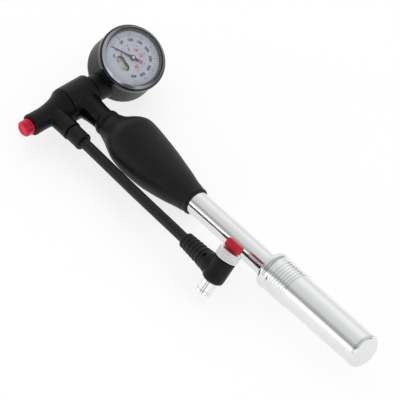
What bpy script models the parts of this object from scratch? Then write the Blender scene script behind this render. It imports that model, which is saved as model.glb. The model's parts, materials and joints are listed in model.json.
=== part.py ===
"""Shock suspension pump: a hand pump with a gauge, a swivel hose arm and a sliding handle.

Every constant is in millimetres, and the builders below turn them into metres. The design frame has
the barrel along +X with its axis at Y = 0, Z = 0, the crossbar of the head along Y at X = 0, and the
dial of the gauge looking up and towards the handle. The empty pump_frame moves the whole design so
that the world origin is under the middle of the pump, on the surface that it lies on.
"""

import math

import bmesh
import bpy
from mathutils import Matrix, Vector

MM = 0.001
GAP = 0.3
SLIDE = 0.2
SEGMENTS = 20
SMALL_SEGMENTS = 12
DIAL_SEGMENTS = 28
RUBBER_SIDES = 6

# Head casting and crossbar (the crossbar's axis is Y at X = 0, Z = 0)
BLOCK_R = 12.4
BLOCK_Y_ARM = -12.4
BLOCK_Y_GAUGE = 9.0
NECK_R = 7.8
NECK_BEAD_R = 9.2
NECK_BEAD_X = 27.0
NECK_END_X = 31.6
SPIGOT_R = 6.5
SPIGOT_END_X = 46.0
PASSAGE_R = 1.2

# Barrel and grip
TUBE_R = 8.3
TUBE_BORE_R = 6.8
TUBE_START_X = 32.0
TUBE_END_X = 206.0
GRIP_BORE_R = TUBE_R + GAP

# Handle and plunger
HANDLE_R = 12.4
HANDLE_BORE_R = 10.4
COLLAR_LIP_R = 13.5
COLLAR_DIP_R = 12.7
RING_R = 12.9
COLLAR_X = 193.5
RING_START_X = 203.6
RING_COUNT = 6
RING_PITCH = 2.4
RING_DEPTH = 0.6
HANDLE_END_X = 287.4
HANDLE_WALL = 4.4
HANDLE_FILLET = 3.2
ANCHOR_LENGTH = 5.6
ROD_R = 4.0
PISTON_X = 115.0
PISTON_LENGTH = 9.0

# Gauge (its own frame: origin just in front of the lens, +Z out of the dial, +Y up the dial)
GAUGE_POS = (10.95, 38.2, 25.9)
GAUGE_TILT = math.radians(30.0)
GAUGE_R = 22.2
GAUGE_DEPTH = 36.0
GAUGE_FLOOR = 34.1
GAUGE_WALL_R = 20.4
BEZEL_R = 22.8
DIAL_R = 19.6
DIAL_DEPTH = 7.2
POINTER_ZERO = math.radians(213.0)
PINION_TEETH = 10
SECTOR_TEETH = 70
GEAR_CENTRES = 11.0
MESH_DEPTH = 16.0

# Swivel arm and hose
ARM_R = 7.5
ARM_END_Y = -42.0
TEE_START_Y = BLOCK_Y_ARM - GAP
SPINDLE_R = 4.0
BORE_CLEAR = 0.3
HOSE_Y = -22.7
HOSE_SLOPE_Y = -0.047
HOSE_SLOPE_Z = 0.0208
HOSE_R = 3.65
SOCKET_R = 6.6
SOCKET_LENGTH = 21.4
FERRULE_R = 6.0
FERRULE_LENGTH = 11.9
HOSE_LENGTH = 107.6
HOSE_POINTS = 16
HOSE_BOW = 0.5

# Chuck (its own frame: origin where the hose's line meets the coupler's, +X along the hose's line,
# +Z towards the thumb tab)
CHUCK_DISTANCE = 176.2
CHUCK_ROLL = math.radians(-40.0)
CHUCK_BODY_R = 7.9
CHUCK_BODY_LOW = -8.1
CHUCK_BODY_HIGH = 9.1
KNOB_R = 8.0
KNOB_LOW = CHUCK_BODY_HIGH + GAP
KNOB_HIGH = 16.2
TAB_HIGH = 22.6
TAB_WIDTH = 12.6
TAB_THICKNESS = 5.0
COUPLER_R = 5.33
COUPLER_END = -18.0
STEM_R = 3.4

# The whole pump lies on its grip, and the back of the gauge is its far end
BUTTON_END_Y = -48.8
BASE_Z = -15.0
HOUSING_PROFILE = [
    (0.0, -GAUGE_DEPTH),
    (GAUGE_R - 4.6, -GAUGE_DEPTH),
    (GAUGE_R - 1.6, -GAUGE_DEPTH + 1.1),
    (GAUGE_R - 0.3, -GAUGE_DEPTH + 3.6),
    (GAUGE_R, -GAUGE_DEPTH + 6.5),
    (GAUGE_R, -7.4),
    (GAUGE_WALL_R, -7.4),
    (GAUGE_WALL_R, -GAUGE_FLOOR + 1.5),
    (GAUGE_WALL_R - 1.5, -GAUGE_FLOOR),
    (0.0, -GAUGE_FLOOR),
]
GAUGE_BACK_X = min(
    GAUGE_POS[0] - radius * math.cos(GAUGE_TILT) + height * math.sin(GAUGE_TILT)
    for radius, height in HOUSING_PROFILE
)
FRAME_SHIFT = (
    -(GAUGE_BACK_X + HANDLE_END_X) / 2.0,
    -(GAUGE_POS[1] + BEZEL_R + BUTTON_END_Y) / 2.0,
    -BASE_Z,
)

BLACK_NYLON = ((0.022, 0.022, 0.024), 0.48, 0.0)
BLACK_RUBBER = ((0.018, 0.018, 0.019), 0.7, 0.0)
ALUMINIUM = ((0.83, 0.84, 0.85), 0.2, 1.0)
STEEL = ((0.6, 0.6, 0.62), 0.25, 1.0)
BRASS = ((0.75, 0.55, 0.25), 0.3, 1.0)
CHROME = ((0.8, 0.8, 0.82), 0.08, 1.0)
RED = ((0.55, 0.01, 0.03), 0.3, 0.0)
WHITE = ((0.86, 0.86, 0.92), 0.5, 0.0)
CLEAR = ((0.95, 0.97, 1.0), 0.02, 0.0)
NYLON_WHITE = ((0.75, 0.74, 0.7), 0.5, 0.0)


# ---------------------------------------------------------------- builders


def clear_scene():
    for obj in list(bpy.data.objects):
        bpy.data.objects.remove(obj, do_unlink=True)


def make_material(name, look):
    colour, roughness, metallic = look
    material = bpy.data.materials.new(name)
    material.use_nodes = True
    shader = material.node_tree.nodes["Principled BSDF"]
    shader.inputs["Base Color"].default_value = (*colour, 1.0)
    shader.inputs["Roughness"].default_value = roughness
    shader.inputs["Metallic"].default_value = metallic
    if look is CLEAR:
        shader.inputs["Transmission Weight"].default_value = 1.0
    return material


def finish_mesh(bm, name, place, look, parent):
    """Turn a millimetre bmesh into an object placed by a millimetre matrix."""
    bmesh.ops.remove_doubles(bm, verts=bm.verts, dist=1e-4)
    bmesh.ops.recalc_face_normals(bm, faces=bm.faces)
    bmesh.ops.scale(bm, vec=(MM, MM, MM), verts=bm.verts)
    mesh = bpy.data.meshes.new(name)
    bm.to_mesh(mesh)
    bm.free()
    mesh.shade_smooth()
    mesh.set_sharp_from_angle(angle=math.radians(32.0))
    obj = bpy.data.objects.new(name, mesh)
    bpy.context.scene.collection.objects.link(obj)
    obj.parent = parent
    obj.matrix_local = metres(place)
    if look is not None:
        mesh.materials.append(make_material(name, look))
    return obj


def metres(place):
    result = place.copy()
    result.translation = place.translation * MM
    return result


def frame_at(origin, direction):
    """A frame whose +Z points along direction."""
    turn = Vector(direction).to_track_quat("Z", "Y").to_matrix().to_4x4()
    return Matrix.Translation(Vector(origin)) @ turn


ALONG_X = frame_at((0.0, 0.0, 0.0), (1.0, 0.0, 0.0))
ALONG_Y = frame_at((0.0, 0.0, 0.0), (0.0, 1.0, 0.0))


def lathe(name, profile, place, look, parent, segments=SEGMENTS):
    """A turned solid about local Z from (radius, height) points; a ring if no radius is zero."""
    bm = bmesh.new()
    points = [bm.verts.new((radius, 0.0, height)) for radius, height in profile]
    edges = [bm.edges.new(pair) for pair in zip(points, points[1:])]
    if min(radius for radius, _ in profile) > 0.0:
        edges.append(bm.edges.new((points[-1], points[0])))
    bmesh.ops.spin(
        bm,
        geom=points + edges,
        cent=(0.0, 0.0, 0.0),
        axis=(0.0, 0.0, 1.0),
        angle=math.tau,
        steps=segments,
        use_merge=True,
    )
    return finish_mesh(bm, name, place, look, parent)


def disc_profile(radius, low, high, chamfer=0.0):
    if chamfer == 0.0:
        return [(0.0, low), (radius, low), (radius, high), (0.0, high)]
    return [
        (0.0, low),
        (radius - chamfer, low),
        (radius, low + chamfer),
        (radius, high - chamfer),
        (radius - chamfer, high),
        (0.0, high),
    ]


def ring_profile(inner, outer, low, high, chamfer=0.0):
    if chamfer == 0.0:
        return [(inner, low), (outer, low), (outer, high), (inner, high)]
    return [
        (inner, low),
        (outer - chamfer, low),
        (outer, low + chamfer),
        (outer, high - chamfer),
        (outer - chamfer, high),
        (inner, high),
    ]


def o_ring(name, inner, outer, middle, place, parent):
    """A rubber ring of round section."""
    wire = (outer - inner) / 2.0
    centre = (outer + inner) / 2.0
    turns = [math.tau * i / RUBBER_SIDES for i in range(RUBBER_SIDES)]
    profile = [(centre + wire * math.cos(turn), middle + wire * math.sin(turn)) for turn in turns]
    return lathe(name, profile, place, BLACK_RUBBER, parent, SMALL_SEGMENTS)


def prism(name, outline, low, high, place, look, parent):
    """A closed outline in local XY, extruded along local Z from low to high."""
    bm = bmesh.new()
    face = bm.faces.new([bm.verts.new((x, y, low)) for x, y in outline])
    result = bmesh.ops.extrude_face_region(bm, geom=[face])
    raised = [item for item in result["geom"] if isinstance(item, bmesh.types.BMVert)]
    bmesh.ops.translate(bm, vec=(0.0, 0.0, high - low), verts=raised)
    return finish_mesh(bm, name, place, look, parent)


def rectangle(x0, x1, y0, y1):
    return [(x0, y0), (x1, y0), (x1, y1), (x0, y1)]


def loft(name, rings, place, look, parent):
    """A closed solid through rings of points; the last ring joins the first."""
    bm = bmesh.new()
    loops = [[bm.verts.new(point) for point in ring] for ring in rings]
    count = len(loops[0])
    for ring, following in zip(loops, loops[1:] + loops[:1]):
        for i in range(count):
            after = (i + 1) % count
            bm.faces.new((ring[i], ring[after], following[after], following[i]))
    return finish_mesh(bm, name, place, look, parent)


def ellipse_ring(x, half_y, half_z, centre_z, count):
    return [
        (
            x,
            half_y * math.cos(math.tau * i / count),
            centre_z + half_z * math.sin(math.tau * i / count),
        )
        for i in range(count)
    ]


def coil(name, radius, wire, low, high, turns, place, look, parent):
    """A compression spring about local Z."""
    steps = 10 * turns
    curve = bpy.data.curves.new(name, "CURVE")
    curve.dimensions = "3D"
    curve.bevel_depth = wire * MM
    curve.bevel_resolution = 0
    curve.use_fill_caps = True
    spline = curve.splines.new("POLY")
    spline.points.add(steps)
    for i, point in enumerate(spline.points):
        angle = math.tau * turns * i / steps
        height = low + wire + (high - low - 2.0 * wire) * i / steps
        point.co = (
            radius * math.cos(angle) * MM,
            radius * math.sin(angle) * MM,
            height * MM,
            1.0,
        )
    obj = bpy.data.objects.new(name, curve)
    bpy.context.scene.collection.objects.link(obj)
    curve.materials.append(make_material(name, look))
    obj.parent = parent
    obj.matrix_local = metres(place)
    return obj


def combine(target, tool, operation):
    """Join a hidden tool solid to the target, or cut it away."""
    tool.hide_render = True
    tool.display_type = "WIRE"
    modifier = target.modifiers.new(tool.name, "BOOLEAN")
    modifier.operation = operation
    modifier.solver = "EXACT"
    modifier.object = tool


def add_empty(name, place, parent=None):
    empty = bpy.data.objects.new(name, None)
    bpy.context.scene.collection.objects.link(empty)
    empty.parent = parent
    empty.matrix_local = metres(place)
    return empty


# ---------------------------------------------------------------- head, barrel and grip


def build_head(frame):
    head = lathe(
        "head_casting",
        disc_profile(BLOCK_R, BLOCK_Y_ARM, BLOCK_Y_GAUGE, 0.7),
        ALONG_Y,
        BLACK_NYLON,
        frame,
    )
    groove = 36.0
    neck = lathe(
        "neck_solid",
        [
            (0.0, 2.0),
            (NECK_R, 2.0),
            (NECK_R, NECK_BEAD_X - 1.2),
            (NECK_BEAD_R - 0.4, NECK_BEAD_X),
            (NECK_BEAD_R, NECK_BEAD_X + 1.0),
            (NECK_BEAD_R, NECK_END_X - 0.6),
            (NECK_BEAD_R - 0.6, NECK_END_X),
            (SPIGOT_R, NECK_END_X),
            (SPIGOT_R, groove),
            (SPIGOT_R - 1.1, groove),
            (SPIGOT_R - 1.1, groove + 2.0),
            (SPIGOT_R, groove + 2.0),
            (SPIGOT_R, SPIGOT_END_X),
            (0.0, SPIGOT_END_X),
        ],
        ALONG_X,
        None,
        frame,
    )
    combine(head, neck, "UNION")
    turned = ALONG_X @ Matrix.Rotation(math.radians(8.0), 4, "Z")
    bores = (
        ("spindle_socket", disc_profile(SPINDLE_R + GAP, BLOCK_Y_ARM - 1.0, -2.0), ALONG_Y),
        ("stem_socket", disc_profile(3.3, 2.0, BLOCK_Y_GAUGE + 1.0), ALONG_Y),
        ("crossbar_passage", disc_profile(PASSAGE_R, -3.0, 3.0), ALONG_Y),
        ("barrel_passage", disc_profile(PASSAGE_R - 0.3, -0.5, 35.0), turned),
        ("valve_chamber", disc_profile(3.5, 34.0, SPIGOT_END_X + 1.0), ALONG_X),
    )
    for name, profile, place in bores:
        combine(head, lathe(name, profile, place, None, frame, SMALL_SEGMENTS), "DIFFERENCE")
    for side in (-1.0, 1.0):
        pocket = prism(
            f"neck_pocket_{'arm' if side < 0 else 'gauge'}",
            rectangle(12.6, 25.2, -3.6, 2.4),
            0.0,
            4.0,
            Matrix.Translation((0.0, side * 5.0, 0.0)) @ Matrix.Rotation(side * -math.pi / 2.0, 4, "X"),
            None,
            frame,
        )
        combine(head, pocket, "DIFFERENCE")
    o_ring("barrel_seal", SPIGOT_R - 0.75, TUBE_BORE_R - 0.16, groove + 1.0, ALONG_X, frame)


def build_barrel(frame):
    lathe(
        "barrel_tube",
        ring_profile(TUBE_BORE_R, TUBE_R, TUBE_START_X, TUBE_END_X, 0.4),
        ALONG_X,
        ALUMINIUM,
        frame,
    )
    bush_start = TUBE_END_X - 10.0
    lathe(
        "rod_guide_bush",
        [
            (ROD_R + SLIDE, bush_start),
            (TUBE_BORE_R - GAP, bush_start),
            (TUBE_BORE_R - GAP, TUBE_END_X + GAP),
            (9.2, TUBE_END_X + GAP),
            (9.2, TUBE_END_X + 2.4),
            (ROD_R + SLIDE, TUBE_END_X + 2.4),
        ],
        ALONG_X,
        BLACK_NYLON,
        frame,
    )


def build_grip(frame):
    """A palm-shaped rubber sleeve: stations of distance, half width, half height and rise."""
    start = NECK_END_X + GAP
    stations = (
        (start, 9.3, 9.3, 0.0),
        (start + 1.3, 9.8, 9.6, 0.1),
        (37.0, 11.3, 10.5, 0.6),
        (41.0, 13.2, 11.9, 1.9),
        (45.0, 15.4, 13.6, 3.3),
        (49.0, 17.3, 15.1, 4.1),
        (52.6, 18.6, 16.1, 4.0),
        (58.0, 19.2, 16.1, 2.8),
        (66.0, 19.1, 15.7, 1.2),
        (81.0, 17.5, 14.6, -0.4),
        (90.0, 15.7, 13.6, -0.7),
        (99.2, 13.7, 12.4, -0.6),
        (108.2, 11.3, 10.9, -0.4),
        (112.7, 10.5, 10.2, -0.2),
        (115.9, 9.8, 9.8, 0.0),
        (117.8, 9.9, 9.9, 0.0),
        (118.7, 9.2, 9.2, 0.0),
    )
    rings = [ellipse_ring(*station, SEGMENTS) for station in stations]
    for x in (stations[-1][0], start):
        rings.append(ellipse_ring(x, GRIP_BORE_R, GRIP_BORE_R, 0.0, SEGMENTS))
    loft("grip", rings, Matrix.Identity(4), BLACK_RUBBER, frame)


def build_check_valve(frame):
    lathe(
        "check_valve_seat",
        ring_profile(PASSAGE_R, 3.2, 43.4, SPIGOT_END_X - GAP),
        ALONG_X,
        BRASS,
        frame,
        SMALL_SEGMENTS,
    )
    lathe(
        "check_valve_poppet",
        [(0.0, 37.2), (0.9, 37.2), (0.9, 40.6), (2.6, 40.6), (2.6, 42.6), (2.0, 43.1), (0.0, 43.1)],
        ALONG_X,
        BRASS,
        frame,
        SMALL_SEGMENTS,
    )
    coil("check_valve_spring", 2.0, 0.3, 34.3, 40.3, 3, ALONG_X, STEEL, frame)


# ---------------------------------------------------------------- handle and plunger


def handle_profile():
    """The handle's outline from the floor of its bore, over the collar and rings, to its closed end."""
    points = [
        (0.0, HANDLE_END_X - HANDLE_WALL),
        (HANDLE_BORE_R, HANDLE_END_X - HANDLE_WALL),
        (HANDLE_BORE_R, COLLAR_X),
        (COLLAR_LIP_R - 0.8, COLLAR_X),
        (COLLAR_LIP_R, COLLAR_X + 0.9),
        (COLLAR_LIP_R, COLLAR_X + 2.6),
        (COLLAR_DIP_R, COLLAR_X + 4.6),
        (COLLAR_DIP_R, COLLAR_X + 7.6),
        (RING_R, RING_START_X - 1.2),
    ]
    for i in range(RING_COUNT):
        x = RING_START_X + RING_PITCH * i
        points += [(RING_R, x), (RING_R - RING_DEPTH, x + 0.6), (RING_R, x + 1.2)]
    ring_end = RING_START_X + RING_PITCH * RING_COUNT
    points += [(RING_R, ring_end - 0.2), (HANDLE_R, ring_end + 0.8)]
    for i in range(4):
        angle = math.pi / 2.0 * i / 3
        points.append(
            (
                HANDLE_R - HANDLE_FILLET * (1.0 - math.cos(angle)),
                HANDLE_END_X - HANDLE_FILLET * (1.0 - math.sin(angle)),
            )
        )
    points.append((0.0, HANDLE_END_X))
    return points


def build_handle(frame):
    plunger = add_empty("plunger_axis", Matrix.Identity(4), frame)
    lathe("handle_shell", handle_profile(), ALONG_X, ALUMINIUM, plunger)
    lathe(
        "handle_guide_bush",
        ring_profile(TUBE_R + SLIDE, HANDLE_BORE_R - GAP, COLLAR_X + 0.8, TUBE_END_X, 0.4),
        ALONG_X,
        BLACK_NYLON,
        plunger,
    )
    floor = HANDLE_END_X - HANDLE_WALL
    lathe(
        "rod_anchor",
        ring_profile(ROD_R + GAP, HANDLE_BORE_R - GAP, floor - ANCHOR_LENGTH, floor - GAP, 0.8),
        ALONG_X,
        NYLON_WHITE,
        plunger,
    )
    lathe(
        "handle_bumper",
        ring_profile(ROD_R + GAP, 8.6, floor - ANCHOR_LENGTH - 2.6, floor - ANCHOR_LENGTH - GAP, 0.6),
        ALONG_X,
        BLACK_RUBBER,
        plunger,
        SMALL_SEGMENTS,
    )
    piston_end = PISTON_X + PISTON_LENGTH
    lathe(
        "plunger_rod",
        [
            (0.0, PISTON_X + 1.0),
            (2.2, PISTON_X + 1.0),
            (2.2, piston_end + GAP),
            (ROD_R, piston_end + GAP),
            (ROD_R, floor - 0.6),
            (0.0, floor - 0.6),
        ],
        ALONG_X,
        STEEL,
        plunger,
        SMALL_SEGMENTS,
    )
    lathe(
        "piston",
        [
            (2.5, PISTON_X),
            (TUBE_BORE_R - SLIDE, PISTON_X),
            (TUBE_BORE_R - SLIDE, PISTON_X + 3.2),
            (5.2, PISTON_X + 3.2),
            (5.2, PISTON_X + 5.4),
            (TUBE_BORE_R - SLIDE, PISTON_X + 5.4),
            (TUBE_BORE_R - SLIDE, piston_end),
            (2.5, piston_end),
        ],
        ALONG_X,
        NYLON_WHITE,
        plunger,
    )
    o_ring("piston_seal", 5.55, TUBE_BORE_R - 0.16, PISTON_X + 4.3, ALONG_X, plunger)
    lathe(
        "piston_screw",
        disc_profile(4.4, PISTON_X - 1.8, PISTON_X - GAP, 0.3),
        ALONG_X,
        STEEL,
        plunger,
        SMALL_SEGMENTS,
    )


# ---------------------------------------------------------------- gauge


def gauge_frame():
    return Matrix.Translation(Vector(GAUGE_POS)) @ Matrix.Rotation(GAUGE_TILT, 4, "Y")


def build_gauge_case(frame, place):
    housing = lathe(
        "gauge_housing",
        HOUSING_PROFILE,
        place,
        BLACK_NYLON,
        frame,
    )
    offset = place.to_3x3() @ Vector((0.0, 0.0, 3.0))
    boss = lathe(
        "gauge_boss",
        disc_profile(9.0, BLOCK_Y_GAUGE + GAP, 21.2),
        frame_at((offset.x, 0.0, offset.z), (0.0, 1.0, 0.0)),
        None,
        frame,
    )
    combine(housing, boss, "UNION")
    cavity = lathe(
        "gauge_cavity",
        disc_profile(GAUGE_WALL_R, -GAUGE_FLOOR + 1.5, 4.0),
        place,
        None,
        frame,
    )
    combine(housing, cavity, "DIFFERENCE")
    bore = lathe("stem_bore", disc_profile(3.3, 8.0, 24.0), ALONG_Y, None, frame, SMALL_SEGMENTS)
    combine(housing, bore, "DIFFERENCE")
    lathe(
        "gauge_bezel",
        [
            (20.3, -6.1),
            (BEZEL_R - 0.9, -6.1),
            (BEZEL_R, -7.0),
            (BEZEL_R, -10.6),
            (GAUGE_R + GAP, -10.6),
            (GAUGE_R + GAP, -7.1),
            (20.3, -7.1),
        ],
        place,
        BLACK_NYLON,
        frame,
        DIAL_SEGMENTS,
    )
    lathe(
        "gauge_lens",
        [
            (0.0, -4.9),
            (19.7, -4.9),
            (19.7, -4.3),
            (13.0, -3.8),
            (6.0, -3.5),
            (0.0, -3.4),
        ],
        place,
        CLEAR,
        frame,
        DIAL_SEGMENTS,
    )
    lathe(
        "gauge_trim_ring",
        [
            (20.0, -5.8),
            (21.9, -5.8),
            (20.6, -4.1),
            (20.0, -4.1),
        ],
        place,
        CHROME,
        frame,
        DIAL_SEGMENTS,
    )
    dial = lathe(
        "gauge_dial",
        ring_profile(1.2, DIAL_R, -DIAL_DEPTH - 0.7, -DIAL_DEPTH),
        place,
        WHITE,
        frame,
        DIAL_SEGMENTS,
    )
    inner, outer, spread = 6.4, 12.6, math.radians(26.0)
    window = [
        (
            radius * math.cos(-math.pi / 2.0 + turn * spread),
            radius * math.sin(-math.pi / 2.0 + turn * spread),
        )
        for radius, turns in ((outer, (-1.0, -0.5, 0.0, 0.5, 1.0)), (inner, (1.0, 0.0, -1.0)))
        for turn in turns
    ]
    slot = prism("dial_window", window, -DIAL_DEPTH - 2.0, -DIAL_DEPTH + 1.0, place, None, frame)
    combine(dial, slot, "DIFFERENCE")


def gear_outline(teeth, pitch_radius, first, count, start, addendum):
    """Tooth points from angle start; a tooth is narrower than its gap, so that the mesh is free."""
    pitch = math.tau / teeth
    points = []
    for i in range(count):
        middle = start + (first + i) * pitch
        for radius, turn in (
            (pitch_radius - addendum, -0.30),
            (pitch_radius + 0.8 * addendum, -0.12),
            (pitch_radius + 0.8 * addendum, 0.12),
            (pitch_radius - addendum, 0.30),
        ):
            angle = middle + turn * pitch
            points.append((radius * math.cos(angle), radius * math.sin(angle)))
    return points


def build_gauge_movement(frame, place):
    socket = prism(
        "gauge_socket",
        rectangle(-4.5, 7.4, -16.8, -14.3),
        -32.0,
        -21.0,
        place,
        BRASS,
        frame,
    )
    stem = lathe("stem_solid", disc_profile(2.9, 2.3, 22.7), ALONG_Y, None, frame, SMALL_SEGMENTS)
    combine(socket, stem, "UNION")
    hole = lathe("stem_hole", disc_profile(1.0, 1.0, 14.0), ALONG_Y, None, frame, 12)
    combine(socket, hole, "DIFFERENCE")

    side = place @ Matrix.Rotation(math.pi / 2.0, 4, "Y")
    clip = [
        (13.0, 4.5),
        (13.0, -14.0),
        (19.4, -14.0),
        (19.4, 4.5),
        (18.5, 4.5),
        (18.5, -13.0),
        (13.9, -13.0),
        (13.9, 4.5),
    ]
    plates = prism("movement_frame", clip, -6.0, 6.0, side, BRASS, frame)
    for name, y in (("pinion_hole", 0.0), ("sector_hole", -GEAR_CENTRES)):
        spot = place @ Matrix.Translation((0.0, y, 0.0))
        drill = lathe(name, disc_profile(0.9, -21.0, -11.0), spot, None, frame, 12)
        combine(plates, drill, "DIFFERENCE")

    radius = 14.8
    start, end = math.radians(-60.0), math.radians(200.0)
    steps = 16
    rings = []
    for i in range(steps + 1):
        angle = start + (end - start) * i / steps
        rings.append(
            [
                ((radius + dr) * math.cos(angle), (radius + dr) * math.sin(angle), dz)
                for dr, dz in ((0.7, -30.2), (0.7, -25.2), (-0.7, -25.2), (-0.7, -30.2))
            ]
        )
    bm = bmesh.new()
    loops = [[bm.verts.new(point) for point in ring] for ring in rings]
    for ring, following in zip(loops, loops[1:]):
        for i in range(4):
            after = (i + 1) % 4
            bm.faces.new((ring[i], ring[after], following[after], following[i]))
    bm.faces.new(loops[0])
    bm.faces.new(loops[-1])
    finish_mesh(bm, "bourdon_tube", place, BRASS, frame)

    pitch_unit = GEAR_CENTRES / (PINION_TEETH + SECTOR_TEETH)
    pinion_r = pitch_unit * PINION_TEETH
    sector_r = pitch_unit * SECTOR_TEETH
    addendum = 0.24
    pinion_axis = add_empty("pointer_axis", place, frame)
    outline = gear_outline(
        PINION_TEETH, pinion_r, 0, PINION_TEETH, -math.pi / 2.0 + math.pi / PINION_TEETH, addendum
    )
    pinion = prism(
        "pinion_shaft",
        outline,
        -MESH_DEPTH - 1.2,
        -MESH_DEPTH + 1.2,
        Matrix.Identity(4),
        BRASS,
        pinion_axis,
    )
    shaft = lathe(
        "pinion_shaft_solid",
        disc_profile(0.7, -19.2, -DIAL_DEPTH + 1.0),
        Matrix.Identity(4),
        None,
        pinion_axis,
        12,
    )
    combine(pinion, shaft, "UNION")

    blade = [(-5.0, -1.1), (-5.0, 1.1), (0.0, 0.8), (14.6, 0.22), (15.4, 0.0), (14.6, -0.22), (0.0, -0.8)]
    needle_place = Matrix.Rotation(POINTER_ZERO, 4, "Z")
    needle = prism("gauge_pointer", blade, -6.7, -6.3, needle_place, BLACK_NYLON, pinion_axis)
    hub = lathe(
        "pointer_hub",
        disc_profile(1.7, -6.9, -5.3, 0.2),
        Matrix.Identity(4),
        None,
        pinion_axis,
        16,
    )
    combine(needle, hub, "UNION")
    seat = lathe("pointer_bore", disc_profile(1.0, -8.0, -5.9), Matrix.Identity(4), None, pinion_axis, 12)
    combine(needle, seat, "DIFFERENCE")

    sector_axis = add_empty(
        "sector_axis", place @ Matrix.Translation((0.0, -GEAR_CENTRES, 0.0)), frame
    )
    teeth = gear_outline(SECTOR_TEETH, sector_r, -9, 11, math.pi / 2.0, addendum)
    web = [(-1.6, -0.6), (1.9, -0.4)]
    sector = prism(
        "sector_gear",
        teeth + [web[0], (0.0, -1.5), web[1]],
        -MESH_DEPTH - 0.6,
        -MESH_DEPTH + 0.6,
        Matrix.Identity(4),
        BRASS,
        sector_axis,
    )
    arbor = lathe(
        "sector_arbor",
        disc_profile(0.7, -19.2, -13.2),
        Matrix.Identity(4),
        None,
        sector_axis,
        12,
    )
    combine(sector, arbor, "UNION")


# ---------------------------------------------------------------- swivel arm


def hose_direction():
    return Vector((1.0, HOSE_SLOPE_Y, HOSE_SLOPE_Z)).normalized()


def hose_point(distance):
    return Vector((0.0, HOSE_Y, 0.0)) + hose_direction() * distance


def build_spindle(frame):
    grooves = ((-17.6, -15.8), (-26.2, -24.4))
    clip_groove = (-28.6, -27.5)
    profile = [(PASSAGE_R, -30.0), (SPINDLE_R, -30.0)]
    for low, high in (clip_groove, grooves[1], grooves[0]):
        profile += [(SPINDLE_R, low), (3.1, low), (3.1, high), (SPINDLE_R, high)]
    profile += [(SPINDLE_R, -2.4), (PASSAGE_R, -2.4)]
    spindle = lathe("swivel_spindle", profile, ALONG_Y, BRASS, frame, SMALL_SEGMENTS)
    hole = lathe(
        "spindle_cross_hole",
        disc_profile(PASSAGE_R, -8.0, 8.0),
        frame_at((0.0, HOSE_Y + 1.0, 0.0), (1.0, 0.0, 0.0)),
        None,
        frame,
        12,
    )
    combine(spindle, hole, "DIFFERENCE")
    for name, (low, high) in zip(("swivel_seal_inner", "swivel_seal_outer"), grooves):
        o_ring(name, 3.25, SPINDLE_R + 0.18, (low + high) / 2.0, ALONG_Y, frame)
    bm = bmesh.new()
    low, high = clip_groove[0] + 0.15, clip_groove[1] - 0.15
    face = bm.faces.new(
        [bm.verts.new(p) for p in ((3.3, 0.0, low), (5.3, 0.0, low), (5.3, 0.0, high), (3.3, 0.0, high))]
    )
    bmesh.ops.spin(
        bm,
        geom=[face] + list(face.edges) + list(face.verts),
        cent=(0.0, 0.0, 0.0),
        axis=(0.0, 0.0, 1.0),
        angle=math.radians(310.0),
        steps=18,
    )
    finish_mesh(bm, "spindle_circlip", ALONG_Y, STEEL, frame)


def build_tee(arm):
    tee = lathe(
        "swivel_tee",
        [
            (0.0, TEE_START_Y),
            (BLOCK_R - 0.5, TEE_START_Y),
            (BLOCK_R, TEE_START_Y - 0.6),
            (BLOCK_R - 0.5, TEE_START_Y - 2.0),
            (9.6, -18.1),
            (8.3, -22.5),
            (ARM_R, -28.8),
            (ARM_R, ARM_END_Y + 0.6),
            (ARM_R - 0.5, ARM_END_Y),
            (0.0, ARM_END_Y),
        ],
        ALONG_Y,
        BLACK_NYLON,
        arm,
    )
    line = frame_at(hose_point(0.0), hose_direction())
    socket = lathe("socket_solid", disc_profile(SOCKET_R, 2.0, SOCKET_LENGTH, 0.5), line, None, arm)
    combine(tee, socket, "UNION")
    bores = (
        ("spindle_bore", disc_profile(SPINDLE_R + BORE_CLEAR, -32.0, TEE_START_Y + 1.0), ALONG_Y),
        ("bleed_chamber", disc_profile(5.9, ARM_END_Y - 1.0, -27.0), ALONG_Y),
        ("hose_passage", disc_profile(1.5, 1.0, 12.0), line),
        ("hose_socket_bore", disc_profile(4.2, 10.0, SOCKET_LENGTH + 1.0), line),
    )
    for name, profile, place in bores:
        combine(tee, lathe(name, profile, place, None, arm, SMALL_SEGMENTS), "DIFFERENCE")

    start = SOCKET_LENGTH + GAP
    end = start + FERRULE_LENGTH
    ridges = []
    ridge_count = 5
    pitch = (FERRULE_LENGTH - 1.6) / ridge_count
    for i in range(ridge_count):
        z = start + 0.8 + pitch * i
        ridges += [(FERRULE_R, z), (FERRULE_R, z + 0.55 * pitch), (FERRULE_R - 0.35, z + 0.8 * pitch)]
    lathe(
        "hose_ferrule",
        [(1.4, start - 8.0), (3.9, start - 8.0), (3.9, start), (FERRULE_R - 0.4, start)]
        + ridges
        + [(FERRULE_R, end - 0.6), (FERRULE_R - 0.5, end), (1.4, end)],
        line,
        BLACK_NYLON,
        arm,
    )


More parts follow.
